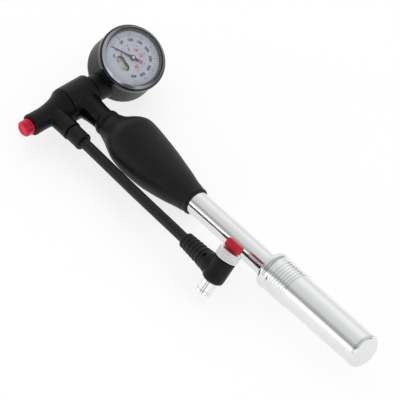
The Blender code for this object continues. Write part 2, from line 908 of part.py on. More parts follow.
def build_bleed_valve(arm):
    lathe(
        "bleed_valve_seat",
        ring_profile(1.3, 5.6, -36.5, -34.0, 0.2),
        ALONG_Y,
        BRASS,
        arm,
        SMALL_SEGMENTS,
    )
    coil("bleed_spring", 3.4, 0.35, -42.9, -36.8, 3, ALONG_Y, STEEL, arm)
    button = add_empty("bleed_axis", Matrix.Identity(4), arm)
    button_r = 5.5
    shoulder = 1.5
    dome = [
        (button_r - shoulder * (1.0 - math.cos(angle)), BUTTON_END_Y + shoulder * (1.0 - math.sin(angle)))
        for angle in (0.0, 0.5, 1.0, math.pi / 2.0)
    ]
    lathe(
        "bleed_button",
        [(0.0, BUTTON_END_Y)]
        + dome[::-1]
        + [(button_r, -38.6), (4.4, -38.6), (4.4, -43.2), (0.0, -43.2)],
        ALONG_Y,
        RED,
        button,
    )
    lathe(
        "bleed_pin",
        disc_profile(0.9, -42.9, -33.2),
        ALONG_Y,
        STEEL,
        button,
        12,
    )
    lathe(
        "bleed_pin_seal",
        ring_profile(1.1, 2.4, -33.8, -33.2),
        ALONG_Y,
        BLACK_RUBBER,
        button,
        SMALL_SEGMENTS,
    )


def build_hose(arm):
    start = SOCKET_LENGTH + FERRULE_LENGTH + 2.0 * GAP
    curve = bpy.data.curves.new("hose", "CURVE")
    curve.dimensions = "3D"
    curve.bevel_depth = HOSE_R * MM
    curve.bevel_resolution = 4
    curve.use_fill_caps = True
    spline = curve.splines.new("POLY")
    spline.points.add(HOSE_POINTS - 1)
    for i, point in enumerate(spline.points):
        share = i / (HOSE_POINTS - 1)
        spot = hose_point(start + HOSE_LENGTH * share)
        spot.z -= HOSE_BOW * math.sin(math.pi * share) ** 2
        point.co = (*(spot * MM), 1.0)
    hose = bpy.data.objects.new("hose", curve)
    bpy.context.scene.collection.objects.link(hose)
    curve.materials.append(make_material("hose", BLACK_RUBBER))
    hose.parent = arm
    return start + HOSE_LENGTH


# ---------------------------------------------------------------- chuck


def chuck_frame():
    yaw = Matrix.Rotation(math.atan2(HOSE_SLOPE_Y, 1.0), 4, "Z")
    pitch = Matrix.Rotation(-math.atan2(HOSE_SLOPE_Z, 1.0), 4, "Y")
    roll = Matrix.Rotation(CHUCK_ROLL, 4, "X")
    return Matrix.Translation(hose_point(CHUCK_DISTANCE)) @ yaw @ pitch @ roll


def build_chuck(arm, hose_end):
    line = frame_at(hose_point(0.0), hose_direction())
    relief_start = hose_end + GAP
    relief_end = CHUCK_DISTANCE - 15.0
    profile = [(1.4, relief_start), (5.2, relief_start)]
    rib_count = 4
    rib_pitch = 3.3
    for i in range(rib_count):
        z = relief_start + 0.6 + rib_pitch * i
        radius = 5.7 + 0.2 * i
        profile += [(radius, z), (radius, z + 1.7), (radius - 0.7, z + 2.5)]
    profile += [(6.6, relief_end - 2.0), (6.9, relief_end), (1.4, relief_end)]
    lathe("strain_relief", profile, line, BLACK_RUBBER, arm)

    place = chuck_frame()
    body = lathe(
        "chuck_body",
        [
            (0.0, CHUCK_BODY_LOW),
            (CHUCK_BODY_R - 2.0, CHUCK_BODY_LOW),
            (CHUCK_BODY_R - 0.6, CHUCK_BODY_LOW + 0.7),
            (CHUCK_BODY_R, CHUCK_BODY_LOW + 2.2),
            (CHUCK_BODY_R, CHUCK_BODY_HIGH - 0.5),
            (CHUCK_BODY_R - 0.5, CHUCK_BODY_HIGH),
            (0.0, CHUCK_BODY_HIGH),
        ],
        place,
        BLACK_NYLON,
        arm,
    )
    branch = lathe(
        "branch_solid",
        [
            (0.0, relief_end + GAP),
            (6.9, relief_end + GAP),
            (7.2, relief_end + 2.0),
            (7.5, CHUCK_DISTANCE),
            (0.0, CHUCK_DISTANCE),
        ],
        line,
        None,
        arm,
    )
    combine(body, branch, "UNION")
    bores = (
        ("coupler_bore", disc_profile(STEM_R + BORE_CLEAR, -12.0, 12.0), place),
        ("chuck_passage", disc_profile(1.4, relief_end - 1.0, CHUCK_DISTANCE), line),
    )
    for name, cut_profile, cut_place in bores:
        combine(body, lathe(name, cut_profile, cut_place, None, arm, SMALL_SEGMENTS), "DIFFERENCE")
    return place


def build_coupler(arm, place):
    coupler = add_empty("coupler_axis", place, arm)
    here = Matrix.Identity(4)
    grooves = ((-6.6, -5.2), (4.2, 5.6))
    socket_floor = -11.2
    collar = CHUCK_BODY_LOW - GAP
    profile = [
        (PASSAGE_R, socket_floor),
        (3.9, socket_floor),
        (3.9, COUPLER_END + 0.4),
        (4.3, COUPLER_END),
        (COUPLER_R - 0.4, COUPLER_END),
        (COUPLER_R, COUPLER_END + 0.4),
        (COUPLER_R, collar),
        (STEM_R, collar),
    ]
    for low, high in grooves:
        profile += [(STEM_R, low), (2.5, low), (2.5, high), (STEM_R, high)]
    profile += [(STEM_R, 14.0), (PASSAGE_R, 14.0)]
    lathe("coupler_sleeve", profile, here, CHROME, coupler)
    for name, (low, high) in zip(("coupler_seal_lower", "coupler_seal_upper"), grooves):
        o_ring(name, 2.6, STEM_R + 0.18, (low + high) / 2.0, here, coupler)
    lathe(
        "valve_gasket",
        ring_profile(1.6, 3.6, socket_floor - 1.5, socket_floor - GAP),
        here,
        BLACK_RUBBER,
        coupler,
        SMALL_SEGMENTS,
    )
    lathe(
        "knurled_knob",
        ring_profile(STEM_R + GAP, KNOB_R, KNOB_LOW, KNOB_HIGH, 0.4),
        here,
        ALUMINIUM,
        coupler,
    )
    tab_axis = add_empty("thumb_tab_axis", place, arm)
    half = TAB_WIDTH / 2.0
    thick = TAB_THICKNESS / 2.0
    tab_low = KNOB_HIGH + GAP
    corner = 1.2
    outline = [
        (-half, tab_low),
        (half, tab_low),
        (half, TAB_HIGH - corner),
        (half - corner, TAB_HIGH),
        (-half + corner, TAB_HIGH),
        (-half, TAB_HIGH - corner),
    ]
    upright = Matrix.Rotation(math.pi / 2.0, 4, "X")
    tab = prism("thumb_tab", outline, -thick, thick, upright, RED, tab_axis)
    stem = lathe("tab_stem", disc_profile(2.4, 14.3, tab_low + 1.0), here, None, tab_axis, 16)
    combine(tab, stem, "UNION")
    pin_axis = add_empty("depressor_axis", place, arm)
    lathe("depressor_pin", disc_profile(0.9, -12.6, 14.0), here, STEEL, pin_axis, 12)


# ---------------------------------------------------------------- the pump


def main():
    clear_scene()
    frame = add_empty("pump_frame", Matrix.Translation(FRAME_SHIFT))
    build_head(frame)
    build_barrel(frame)
    build_grip(frame)
    build_check_valve(frame)
    build_handle(frame)
    gauge_place = gauge_frame()
    build_gauge_case(frame, gauge_place)
    build_gauge_movement(frame, gauge_place)
    build_spindle(frame)
    arm = add_empty("swivel_axis", Matrix.Identity(4), frame)
    build_tee(arm)
    build_bleed_valve(arm)
    hose_end = build_hose(arm)
    chuck_place = build_chuck(arm, hose_end)
    build_coupler(arm, chuck_place)
    bpy.context.view_layer.update()


main()
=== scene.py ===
"""Looks of the shock suspension pump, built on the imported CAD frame.

Shapes are drawn in millimetres, most of them in a local frame of their own (a lathe's axis is local
Z), and place matrices put them in the row frame, in metres. The camera, the materials' grain and the
table are in metres.
"""

import json
import math

import bmesh
import bpy
from mathutils import Matrix, Vector


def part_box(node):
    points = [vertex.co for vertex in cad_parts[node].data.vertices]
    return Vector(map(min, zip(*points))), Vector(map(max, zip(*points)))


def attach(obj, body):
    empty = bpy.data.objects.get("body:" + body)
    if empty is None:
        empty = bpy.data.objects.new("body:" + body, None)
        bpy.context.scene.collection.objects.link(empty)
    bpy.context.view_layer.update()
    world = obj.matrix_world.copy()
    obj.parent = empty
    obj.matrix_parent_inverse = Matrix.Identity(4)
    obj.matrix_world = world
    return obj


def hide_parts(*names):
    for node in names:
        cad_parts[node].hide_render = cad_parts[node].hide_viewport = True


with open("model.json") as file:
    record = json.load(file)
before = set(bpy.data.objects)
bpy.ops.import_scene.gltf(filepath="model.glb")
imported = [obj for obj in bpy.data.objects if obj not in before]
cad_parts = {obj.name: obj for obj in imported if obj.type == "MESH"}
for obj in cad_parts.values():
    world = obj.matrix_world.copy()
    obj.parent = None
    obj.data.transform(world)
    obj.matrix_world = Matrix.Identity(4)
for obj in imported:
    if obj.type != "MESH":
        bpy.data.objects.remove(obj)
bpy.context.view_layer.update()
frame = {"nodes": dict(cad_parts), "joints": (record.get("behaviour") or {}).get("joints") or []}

MM = 0.001
TURN = math.tau

# ---------------------------------------------------------------- places, from the CAD

joints = {joint["name"]: joint for joint in frame["joints"]}
swivel_point = Vector(joints["arm_swivel"]["pos_m"])
barrel_low, barrel_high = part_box("barrel_tube")
barrel_middle = (barrel_low + barrel_high) / 2.0

# The design origin is where the barrel's axis crosses the crossbar's
ORIGIN = Vector((swivel_point.x, barrel_middle.y, barrel_middle.z))
HOSE_Y = (swivel_point.y - ORIGIN.y) / MM
HOSE_SLOPE_Y = -0.047
HOSE_SLOPE_Z = 0.0208
HOSE_LINE = Vector((1.0, HOSE_SLOPE_Y, HOSE_SLOPE_Z)).normalized()


def axes_at(origin, z_axis, x_hint):
    """A right-handed frame at a point of the row frame, with +Z along z_axis and +X near x_hint."""
    z = Vector(z_axis).normalized()
    y = z.cross(Vector(x_hint)).normalized()
    x = y.cross(z)
    turn = Matrix((x, y, z)).transposed().to_4x4()
    return Matrix.Translation(origin) @ turn


def design(x, y, z):
    """A point of the row frame from its millimetres in the design's axes."""
    return ORIGIN + Vector((x, y, z)) * MM


def add_object(name, data, place):
    """Link a new object to the scene, at a place of the row frame."""
    obj = bpy.data.objects.new(name, data)
    bpy.context.scene.collection.objects.link(obj)
    obj.matrix_world = place
    return obj


SQUARE = Matrix.Translation(ORIGIN)
ALONG_X = axes_at(ORIGIN, (1.0, 0.0, 0.0), (0.0, 0.0, 1.0))
ALONG_Y = axes_at(ORIGIN, (0.0, 1.0, 0.0), (1.0, 0.0, 0.0))
ALONG_HOSE = axes_at(design(0.0, HOSE_Y, 0.0), HOSE_LINE, (0.0, 0.0, 1.0))
GAUGE = axes_at(joints["pointer_turn"]["pos_m"], joints["pointer_turn"]["axis"], (0.0, -1.0, 0.0))
GAUGE = GAUGE @ Matrix.Rotation(math.radians(90.0), 4, "Z")
CHUCK = axes_at(joints["coupler_turn"]["pos_m"], joints["coupler_turn"]["axis"], HOSE_LINE)
CHUCK_DISTANCE = (Vector(joints["coupler_turn"]["pos_m"]) - ALONG_HOSE.translation).length / MM

# ---------------------------------------------------------------- camera

# In metres, as the camera belongs to the room and not to the pump
CAMERA_TARGET = design(130.0, 0.0, 0.0)
CAMERA_AZIMUTH = math.radians(45.889)
CAMERA_ELEVATION = math.radians(46.222)
CAMERA_ROLL = math.radians(5.06)
CAMERA_DISTANCE = 9.0
VIEW_WIDTH = 0.2604
VIEW_OFFSET = (-0.00500, 0.00805)


def build_camera():
    """A nearly parallel view from over the arm's side of the handle's end."""
    azimuth, elevation = CAMERA_AZIMUTH, CAMERA_ELEVATION
    back = Vector(
        (
            math.sin(azimuth) * math.cos(elevation),
            -math.cos(azimuth) * math.cos(elevation),
            math.sin(elevation),
        )
    )
    right = Vector((math.cos(azimuth), math.sin(azimuth), 0.0))
    level = Matrix((right, back.cross(right), back)).transposed()
    turned = level @ Matrix.Rotation(CAMERA_ROLL, 3, "Z")
    data = bpy.data.cameras.new("camera")
    data.sensor_width = 36.0
    data.lens = data.sensor_width * CAMERA_DISTANCE / VIEW_WIDTH
    data.clip_start = 0.1
    data.clip_end = 40.0
    offset = turned @ Vector((*VIEW_OFFSET, CAMERA_DISTANCE))
    place = Matrix.Translation(CAMERA_TARGET + offset) @ turned.to_4x4()
    bpy.context.scene.camera = add_object("camera", data, place)


# ---------------------------------------------------------------- materials

# The part of a noise's range that is used, and so where a tint runs from dark to light
TINT_START = 0.3
TINT_END = 0.7


class Look:
    """A Principled material with short ways to add nodes."""

    def __init__(self, name, **sockets):
        self.material = bpy.data.materials.new(name)
        self.material.use_nodes = True
        self.tree = self.material.node_tree
        self.shader = self.tree.nodes["Principled BSDF"]
        for socket, value in sockets.items():
            self.shader.inputs[socket.replace("_", " ")].default_value = value

    def add(self, kind, inputs=(), **settings):
        """A new node; inputs are (socket, value or output) pairs."""
        node = self.tree.nodes.new(kind)
        for name, value in settings.items():
            setattr(node, name, value)
        for socket, value in inputs:
            if isinstance(value, bpy.types.NodeSocket):
                self.tree.links.new(value, node.inputs[socket])
            else:
                node.inputs[socket].default_value = value
        return node

    def math(self, operation, a, b=0.0):
        return self.add("ShaderNodeMath", ((0, a), (1, b)), operation=operation).outputs[0]

    def coordinates(self, stretch=(1.0, 1.0, 1.0)):
        """Object coordinates in metres, with each axis scaled."""
        place = self.add("ShaderNodeTexCoord").outputs["Object"]
        mapping = self.add("ShaderNodeMapping", (("Vector", place), ("Scale", stretch)))
        return mapping.outputs["Vector"]

    def noise(self, size, stretch=(1.0, 1.0, 1.0), detail=3.0):
        """Noise whose features measure about `size` metres."""
        node = self.add(
            "ShaderNodeTexNoise",
            (("Vector", self.coordinates(stretch)), ("Scale", 1.0 / size), ("Detail", detail)),
        )
        return node.outputs[0]

    def spread(self, value, low, high):
        """Map the middle of a noise's range onto low..high."""
        node = self.add(
            "ShaderNodeMapRange",
            ((0, value), (1, TINT_START), (2, TINT_END), (3, low), (4, high)),
        )
        return node.outputs[0]

    def tint(self, value, dark, light):
        """Colours between dark and light, picked by value."""
        ramp = self.add("ShaderNodeValToRGB", (("Fac", value),))
        ramp.color_ramp.elements[0].position = TINT_START
        ramp.color_ramp.elements[0].color = (*dark, 1.0)
        ramp.color_ramp.elements[1].position = TINT_END
        ramp.color_ramp.elements[1].color = (*light, 1.0)
        return ramp.outputs["Color"]

    def drive(self, socket, value):
        self.tree.links.new(value, self.shader.inputs[socket])

    def bump(self, height, depth, strength=1.0, under=None):
        inputs = [("Height", height), ("Distance", depth), ("Strength", strength)]
        if under is not None:
            inputs.append(("Normal", under))
        return self.add("ShaderNodeBump", inputs).outputs["Normal"]


SLOW_CHANGE = 0.012


def scaled(colour, factor):
    return tuple(min(1.0, channel * factor) for channel in colour)


def grained(name, colour, roughness, grain, depth, stretch=(1.0, 1.0, 1.0), vary=0.2, **sockets):
    """A surface with slow changes of tone and gloss and a fine grain in its relief, in metres."""
    look = Look(name, **sockets)
    slow = look.noise(SLOW_CHANGE)
    fine = look.noise(grain, stretch, 4.0)
    look.drive("Base Color", look.tint(slow, scaled(colour, 1.0 - vary), scaled(colour, 1.0 + vary)))
    mixed = look.math("ADD", look.math("MULTIPLY", slow, 0.5), look.math("MULTIPLY", fine, 0.5))
    look.drive("Roughness", look.spread(mixed, roughness * 0.85, roughness * 1.15))
    look.drive("Normal", look.bump(fine, depth))
    return look.material


THREADS_AROUND = 12.0
THREADS_PER_METRE = 3300.0


def hose_look():
    """Rubber hose with the weave of its cover showing: two families of helical threads."""
    look = Look("hose_rubber", Specular_IOR_Level=0.28)
    place = look.add("ShaderNodeSeparateXYZ", ((0, look.coordinates()),)).outputs
    around = look.math("MULTIPLY", look.math("ARCTAN2", place["Y"], place["X"]), THREADS_AROUND)
    along = look.math("MULTIPLY", place["Z"], THREADS_PER_METRE)
    right = look.math("SINE", look.math("ADD", around, along))
    left = look.math("SINE", look.math("SUBTRACT", around, along))
    weave = look.math("MAXIMUM", right, left)
    level = look.math("MULTIPLY_ADD", weave, 0.5)
    level.node.inputs[2].default_value = 0.5
    look.drive("Base Color", look.tint(level, (0.003, 0.0033, 0.0036), (0.012, 0.0125, 0.0135)))
    look.drive("Roughness", look.spread(look.noise(0.004), 0.4, 0.6))
    fine = look.bump(look.noise(0.0004), 0.00003)
    look.drive("Normal", look.bump(level, 0.00012, 0.8, fine))
    return look.material


def dial_look():
    """Pale bluish enamel."""
    look = Look("dial_enamel", Roughness=0.5)
    look.drive("Base Color", look.tint(look.noise(0.004), (0.60, 0.63, 0.74), (0.68, 0.71, 0.82)))
    look.drive("Normal", look.bump(look.noise(0.0005), 0.00001))
    return look.material


def lens_look():
    """A clear window, nearly all let through, with its reflections kept."""
    look = Look("clear_lens", Alpha=0.07, IOR=1.45, Base_Color=(0.9, 0.94, 1.0, 1.0))
    look.drive("Roughness", look.spread(look.noise(0.006), 0.0, 0.03))
    return look.material


# Along Y, in metres: where the trim ring's painted highlight is full, and where its painted shade is full
TRIM_PAINTED_HIGHLIGHT_Y = -0.019
TRIM_PAINTED_SHADE_Y = 0.004


def trim_look():
    """A satin metal ring with painted light and shade, in metres: its base colour is light on the arm's side
    (-Y), a painted highlight, and dark on the other side, a painted shade.
    """
    look = Look("trim_silver_painted_shade", Metallic=1.0, Roughness=0.3)
    place = look.add("ShaderNodeSeparateXYZ", ((0, look.coordinates()),)).outputs
    share = look.add(
        "ShaderNodeMapRange",
        ((0, place["Y"]), (1, TRIM_PAINTED_HIGHLIGHT_Y), (2, TRIM_PAINTED_SHADE_Y), (3, TINT_START), (4, TINT_END)),
    )
    # Painted highlight and painted shade: the base colour runs from pale silver on the arm's side to near
    # black on the other side
    look.drive("Base Color", look.tint(share.outputs[0], (0.55, 0.56, 0.6), (0.08, 0.085, 0.09)))
    return look.material


# How a grain is stretched: round a turned surface, or along a drawn one
FREE_TURN = (0.02, 0.02, 1.0)
LENGTHWISE = (1.0, 1.0, 0.02)

looks = {
    "black_nylon": grained(
        "black_nylon", (0.0045, 0.0052, 0.006), 0.42, 0.0005, 0.00003, Specular_IOR_Level=0.2
    ),
    "black_rubber": grained(
        "black_rubber", (0.0055, 0.0062, 0.0068), 0.52, 0.0004, 0.00006, Specular_IOR_Level=0.27
    ),
    "soft_rubber": grained(
        "soft_rubber", (0.006, 0.0065, 0.0072), 0.5, 0.0003, 0.00003, Specular_IOR_Level=0.28
    ),
    "bezel_black": grained(
        "bezel_black", (0.008, 0.009, 0.010), 0.2, 0.0006, 0.00001, FREE_TURN, Specular_IOR_Level=0.5
    ),
    "works_brass": grained(
        "works_brass", (0.78, 0.74, 0.62), 0.3, 0.0004, 0.00001, (1.0, 1.0, 1.0), 0.15, Metallic=1.0
    ),
    "hose_rubber": hose_look(),
    "drawn_aluminium": grained(
        "drawn_aluminium", (0.78, 0.785, 0.79), 0.15, 0.0006, 0.000004, LENGTHWISE, 0.02, Metallic=1.0
    ),
    "turned_aluminium": grained(
        "turned_aluminium", (0.79, 0.795, 0.80), 0.13, 0.0003, 0.000004, FREE_TURN, 0.02, Metallic=1.0
    ),
    "knob_aluminium": grained(
        "knob_aluminium", (0.86, 0.86, 0.87), 0.28, 0.0003, 0.000004, FREE_TURN, 0.03, Metallic=1.0
    ),
    "steel": grained("steel", (0.55, 0.55, 0.57), 0.28, 0.0003, 0.000008, FREE_TURN, 0.06, Metallic=1.0),
    "brass": grained("brass", (0.74, 0.58, 0.33), 0.3, 0.0004, 0.00001, (1.0, 1.0, 1.0), 0.12, Metallic=1.0),
    "chrome": grained("chrome", (0.84, 0.84, 0.86), 0.08, 0.0006, 0.000003, FREE_TURN, 0.02, Metallic=1.0),
    "trim_silver_painted_shade": trim_look(),
    "red_anodised": grained(
        "red_anodised", (0.62, 0.018, 0.05), 0.24, 0.0004, 0.000008, FREE_TURN, 0.1, Metallic=0.75
    ),
    "red_plastic": grained(
        "red_plastic", (0.60, 0.005, 0.022), 0.4, 0.0006, 0.00006, Specular_IOR_Level=0.4
    ),
    "white_nylon": grained("white_nylon", (0.72, 0.70, 0.65), 0.45, 0.0005, 0.00002, vary=0.05),
    "dial": dial_look(),
    "lens": lens_look(),
    "ink_black": grained("ink_black", (0.02, 0.02, 0.03), 0.5, 0.0003, 0.000004),
    "ink_red": grained("ink_red", (0.62, 0.05, 0.10), 0.5, 0.0003, 0.000004, vary=0.1),
}

# ---------------------------------------------------------------- mesh builders


def finish_mesh(bm, name, place, sharp=32.0):
    """Turn a millimetre bmesh into a smooth-shaded object at a place of the row frame."""
    bmesh.ops.remove_doubles(bm, verts=bm.verts, dist=1e-4)
    bmesh.ops.recalc_face_normals(bm, faces=bm.faces)
    bmesh.ops.scale(bm, vec=(MM, MM, MM), verts=bm.verts)
    mesh = bpy.data.meshes.new(name)
    bm.to_mesh(mesh)
    bm.free()
    mesh.shade_smooth()
    mesh.set_sharp_from_angle(angle=math.radians(sharp))
    return add_object(name, mesh, place)


def weigh_normals(obj):
    """Keep flat faces flat in shading, beside their rounded edges."""
    modifier = obj.modifiers.new("weighted_normals", "WEIGHTED_NORMAL")
    modifier.keep_sharp = True
    return obj


def soften(points, radius, closed=False, steps=4):
    """Round the corners of a (radius, height) outline."""
    if closed:
        triples = zip(points[-1:] + points[:-1], points, points[1:] + points[:1])
    else:
        triples = zip(points, points[1:], points[2:])
    result = [] if closed else [points[0]]
    for before, corner, after in triples:
        a, c, b = Vector(before), Vector(corner), Vector(after)
        into, out = a - c, b - c
        start = c + into.normalized() * min(radius, into.length * 0.45)
        end = c + out.normalized() * min(radius, out.length * 0.45)
        for i in range(steps + 1):
            t = i / steps
            result.append(tuple(start.lerp(c, t).lerp(c.lerp(end, t), t)))
    return result if closed else result + [points[-1]]


def lathe_bmesh(profile, segments, closed):
    bm = bmesh.new()
    points = [bm.verts.new((radius, 0.0, height)) for radius, height in profile]
    edges = [bm.edges.new(pair) for pair in zip(points, points[1:])]
    if closed:
        edges.append(bm.edges.new((points[-1], points[0])))
    bmesh.ops.spin(
        bm,
        geom=points + edges,
        cent=(0.0, 0.0, 0.0),
        axis=(0.0, 0.0, 1.0),
        angle=TURN,
        steps=segments,
        use_merge=True,
    )
    return bm


def lathe(name, profile, place, radius=0.3, segments=128, closed=False):
    """A turned solid about local Z; a ring if closed. Its corners are rounded by radius."""
    outline = soften(profile, radius, closed) if radius > 0.0 else profile
    return weigh_normals(finish_mesh(lathe_bmesh(outline, segments, closed), name, place))


def disc(radius, low, high):
    """The outline of a plain cylinder."""
    return [(0.0, low), (radius, low), (radius, high), (0.0, high)]


def prism_bmesh(outline, low, high):
    bm = bmesh.new()
    face = bm.faces.new([bm.verts.new((x, y, low)) for x, y in outline])
    result = bmesh.ops.extrude_face_region(bm, geom=[face])
    raised = [item for item in result["geom"] if isinstance(item, bmesh.types.BMVert)]
    bmesh.ops.translate(bm, vec=(0.0, 0.0, high - low), verts=raised)
    return bm


def rounded_rectangle(x0, x1, y0, y1, radius, steps=5):
    """An outline with x0 < x1 and y0 < y1."""
    points = []
    corners = ((x1, y1, 0.0), (x0, y1, 90.0), (x0, y0, 180.0), (x1, y0, 270.0))
    for x, y, start in corners:
        centre_x = x - radius if x == x1 else x + radius
        centre_y = y - radius if y == y1 else y + radius
        for i in range(steps + 1):
            angle = math.radians(start + 90.0 * i / steps)
            points.append((centre_x + radius * math.cos(angle), centre_y + radius * math.sin(angle)))
    return points


def prism(name, outline, low, high, place):
    return finish_mesh(prism_bmesh(outline, low, high), name, place)


def add_bevel(obj, width, segments=3):
    modifier = obj.modifiers.new("bevel", "BEVEL")
    modifier.width = width * MM
    modifier.segments = segments
    modifier.limit_method = "ANGLE"
    modifier.angle_limit = math.radians(30.0)
    modifier.harden_normals = True
    return obj


def bake_modifiers(obj):
    """Replace an object's mesh by its evaluated one, with no modifiers left."""
    depsgraph = bpy.context.evaluated_depsgraph_get()
    mesh = bpy.data.meshes.new_from_object(obj.evaluated_get(depsgraph))
    obj.modifiers.clear()
    obj.data = mesh


def discard(obj):
    bpy.data.objects.remove(obj, do_unlink=True)


def gather(solids, place):
    """One bmesh of several solids, in metres, as seen from a place; the solids are used up."""
    joined = bmesh.new()
    for solid in solids:
        bake_modifiers(solid)
        solid.data.transform(place.inverted() @ solid.matrix_world)
        joined.from_mesh(solid.data)
        discard(solid)
    return joined


def mould(name, place, solids, voxel=0.3, smoothing=8):
    """Fuse overlapping closed solids into one moulded body with filleted junctions."""
    joined = gather(solids, place)
    bmesh.ops.scale(joined, vec=(1.0 / MM, 1.0 / MM, 1.0 / MM), verts=joined.verts)
    obj = finish_mesh(joined, name, place)
    remesh = obj.modifiers.new("remesh", "REMESH")
    remesh.mode = "VOXEL"
    remesh.voxel_size = voxel * MM
    remesh.use_smooth_shade = True
    smooth = obj.modifiers.new("smooth", "SMOOTH")
    smooth.factor = 0.5
    smooth.iterations = smoothing
    bake_modifiers(obj)
    return obj


def carve(obj, cutters):
    """Cut clean-edged holes, then throw the cutters away."""
    for cutter in cutters:
        cut = obj.modifiers.new(cutter.name, "BOOLEAN")
        cut.operation = "DIFFERENCE"
        cut.solver = "EXACT"
        cut.object = cutter
    bake_modifiers(obj)
    for cutter in cutters:
        discard(cutter)
    obj.data.shade_smooth()
    obj.data.set_sharp_from_angle(angle=math.radians(40.0))
    return obj


def bridge(bm, loops):
    """Faces between each loop of vertices and the next, and from the last to the first."""
    for loop, following in zip(loops, loops[1:] + loops[:1]):
        for k in range(len(loop)):
            after = (k + 1) % len(loop)
            bm.faces.new((loop[k], loop[after], following[after], following[k]))


def bore(radius, low, high, place, name="bore"):
    """A plain cylinder, to carve with."""
    return finish_mesh(lathe_bmesh(disc(radius, low, high), 96, False), name, place)


def piece(obj, look, body, slot, *nodes):
    """Give a finished object its material, and tie it to the frame."""
    obj.data.materials.clear()
    obj.data.materials.append(looks[look])
    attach(obj, body)
    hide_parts(*nodes)
    return obj


# ---------------------------------------------------------------- hose

SOCKET_LENGTH = 21.4
FERRULE_LENGTH = 11.9
HOSE_R = 3.65
HOSE_LENGTH = 107.6
# Distances along the hose's line, from the crossbar's axis
HOSE_START = SOCKET_LENGTH + FERRULE_LENGTH + 0.6
HOSE_END = HOSE_START + HOSE_LENGTH
HOSE_POINTS = 16
HOSE_BOW = 0.5


def build_hose():
    """One open curve through the CAD's route, and the point where it leaves the ferrule."""
    curve = bpy.data.curves.new("hose_tube", "CURVE")
    curve.dimensions = "3D"
    curve.bevel_depth = HOSE_R * MM
    curve.bevel_resolution = 10
    curve.use_fill_caps = True
    hose = add_object("hose_tube", curve, ALONG_HOSE)
    spline = curve.splines.new("POLY")
    spline.points.add(HOSE_POINTS - 1)
    to_local = ALONG_HOSE.inverted()
    exit_point = None
    for i, point in enumerate(spline.points):
        share = i / (HOSE_POINTS - 1)
        spot = ALONG_HOSE @ Vector((0.0, 0.0, (HOSE_START + HOSE_LENGTH * share) * MM))
        spot.z -= HOSE_BOW * MM * math.sin(math.pi * share) ** 2
        exit_point = exit_point or spot.copy()
        point.co = (*(to_local @ spot), 1.0)
    spline.use_smooth = True
    piece(hose, "hose_rubber", "hose_arm", "black_rubber", "hose")
    return hose, exit_point


# ---------------------------------------------------------------- head, barrel and grip

BLOCK_R = 12.4
BLOCK_Y_ARM = -12.4
BLOCK_Y_GAUGE = 9.0
NECK_END_X = 31.6
TUBE_R = 8.3
TUBE_BORE_R = 6.8
BARREL_END_X = 206.0

# The recesses in both sides of the neck: along X, along Z, and how far out each one's floor is
POCKET_START_X = 11.4
POCKET_END_X = 25.4
POCKET_LOW = -0.8
POCKET_HIGH = 5.0
POCKET_CORNER_R = 1.4
POCKET_FLOOR_Y = 5.4
POCKET_CUT = 8.0


def build_head():
    """The crossbar's block and the neck, moulded together, with a recess in each side."""
    block = lathe("block", disc(BLOCK_R, BLOCK_Y_ARM, BLOCK_Y_GAUGE), ALONG_Y, 0.8)
    neck = lathe(
        "neck",
        [
            (0.0, -2.0),
            (10.8, -2.0),
            (10.8, 5.0),
            (9.4, 10.0),
            (8.4, 15.0),
            (7.8, 20.5),
            (7.7, 25.6),
            (8.9, 26.9),
            (9.2, 28.2),
            (9.2, NECK_END_X - 1.0),
            (8.6, NECK_END_X),
            (6.4, NECK_END_X),
            (6.4, 36.0),
            (0.0, 36.0),
        ],
        ALONG_X,
        0.7,
    )
    head = mould("head_shell", SQUARE, [block, neck])
    pockets = []
    for side in (-1.0, 1.0):
        # Local +Z points outwards, so local +Y is up on the arm's side and down on the other
        turn = Matrix.Rotation(side * -math.pi / 2.0, 4, "X")
        place = Matrix.Translation(design(0.0, side * POCKET_FLOOR_Y, 0.0)) @ turn
        low, high = (POCKET_LOW, POCKET_HIGH) if side < 0.0 else (-POCKET_HIGH, -POCKET_LOW)
        outline = rounded_rectangle(POCKET_START_X, POCKET_END_X, low, high, POCKET_CORNER_R)
        pockets.append(prism("pocket", outline, 0.0, POCKET_CUT, place))
    carve(head, pockets)
    piece(head, "black_nylon", "pump_body", "black_nylon", "head_casting")


# Along X: the grip's half width, half height and rise of its middle
GRIP_STATIONS = (
    (31.9, 9.3, 9.3, 0.0),
    (33.2, 9.8, 9.6, 0.1),
    (37.0, 11.3, 10.5, 0.6),
    (41.0, 13.2, 11.9, 1.9),
    (45.0, 15.4, 13.6, 3.3),
    (49.0, 17.3, 15.1, 4.1),
    (52.6, 18.6, 16.1, 4.0),
    (58.0, 19.2, 16.1, 2.8),
    (66.0, 19.1, 15.7, 1.2),
    (81.0, 17.5, 14.6, -0.4),
    (90.0, 15.7, 13.6, -0.7),
    (99.2, 13.7, 12.4, -0.6),
    (108.2, 11.3, 10.9, -0.4),
    (112.7, 10.5, 10.2, -0.2),
    (115.9, 9.8, 9.8, 0.0),
    (117.8, 9.9, 9.9, 0.0),
    (118.7, 9.2, 9.2, 0.0),
)


def hermite(stations, x):
    """Smooth stations through their own slopes at distance x."""
    last = len(stations) - 2
    i = max(k for k in range(last + 1) if stations[k][0] <= x or k == 0)
    before, here = stations[max(i - 1, 0)], stations[i]
    there, after = stations[i + 1], stations[min(i + 2, last + 1)]
    span = there[0] - here[0]
    t = (x - here[0]) / span
    values = []
    for k in range(1, len(here)):
        slope_here = (there[k] - before[k]) / (there[0] - before[0]) * span
        slope_there = (after[k] - here[k]) / (after[0] - here[0]) * span
        values.append(
            (2.0 * t**3 - 3.0 * t**2 + 1.0) * here[k]
            + (t**3 - 2.0 * t**2 + t) * slope_here
            + (3.0 * t**2 - 2.0 * t**3) * there[k]
            + (t**3 - t**2) * slope_there
        )
    return values


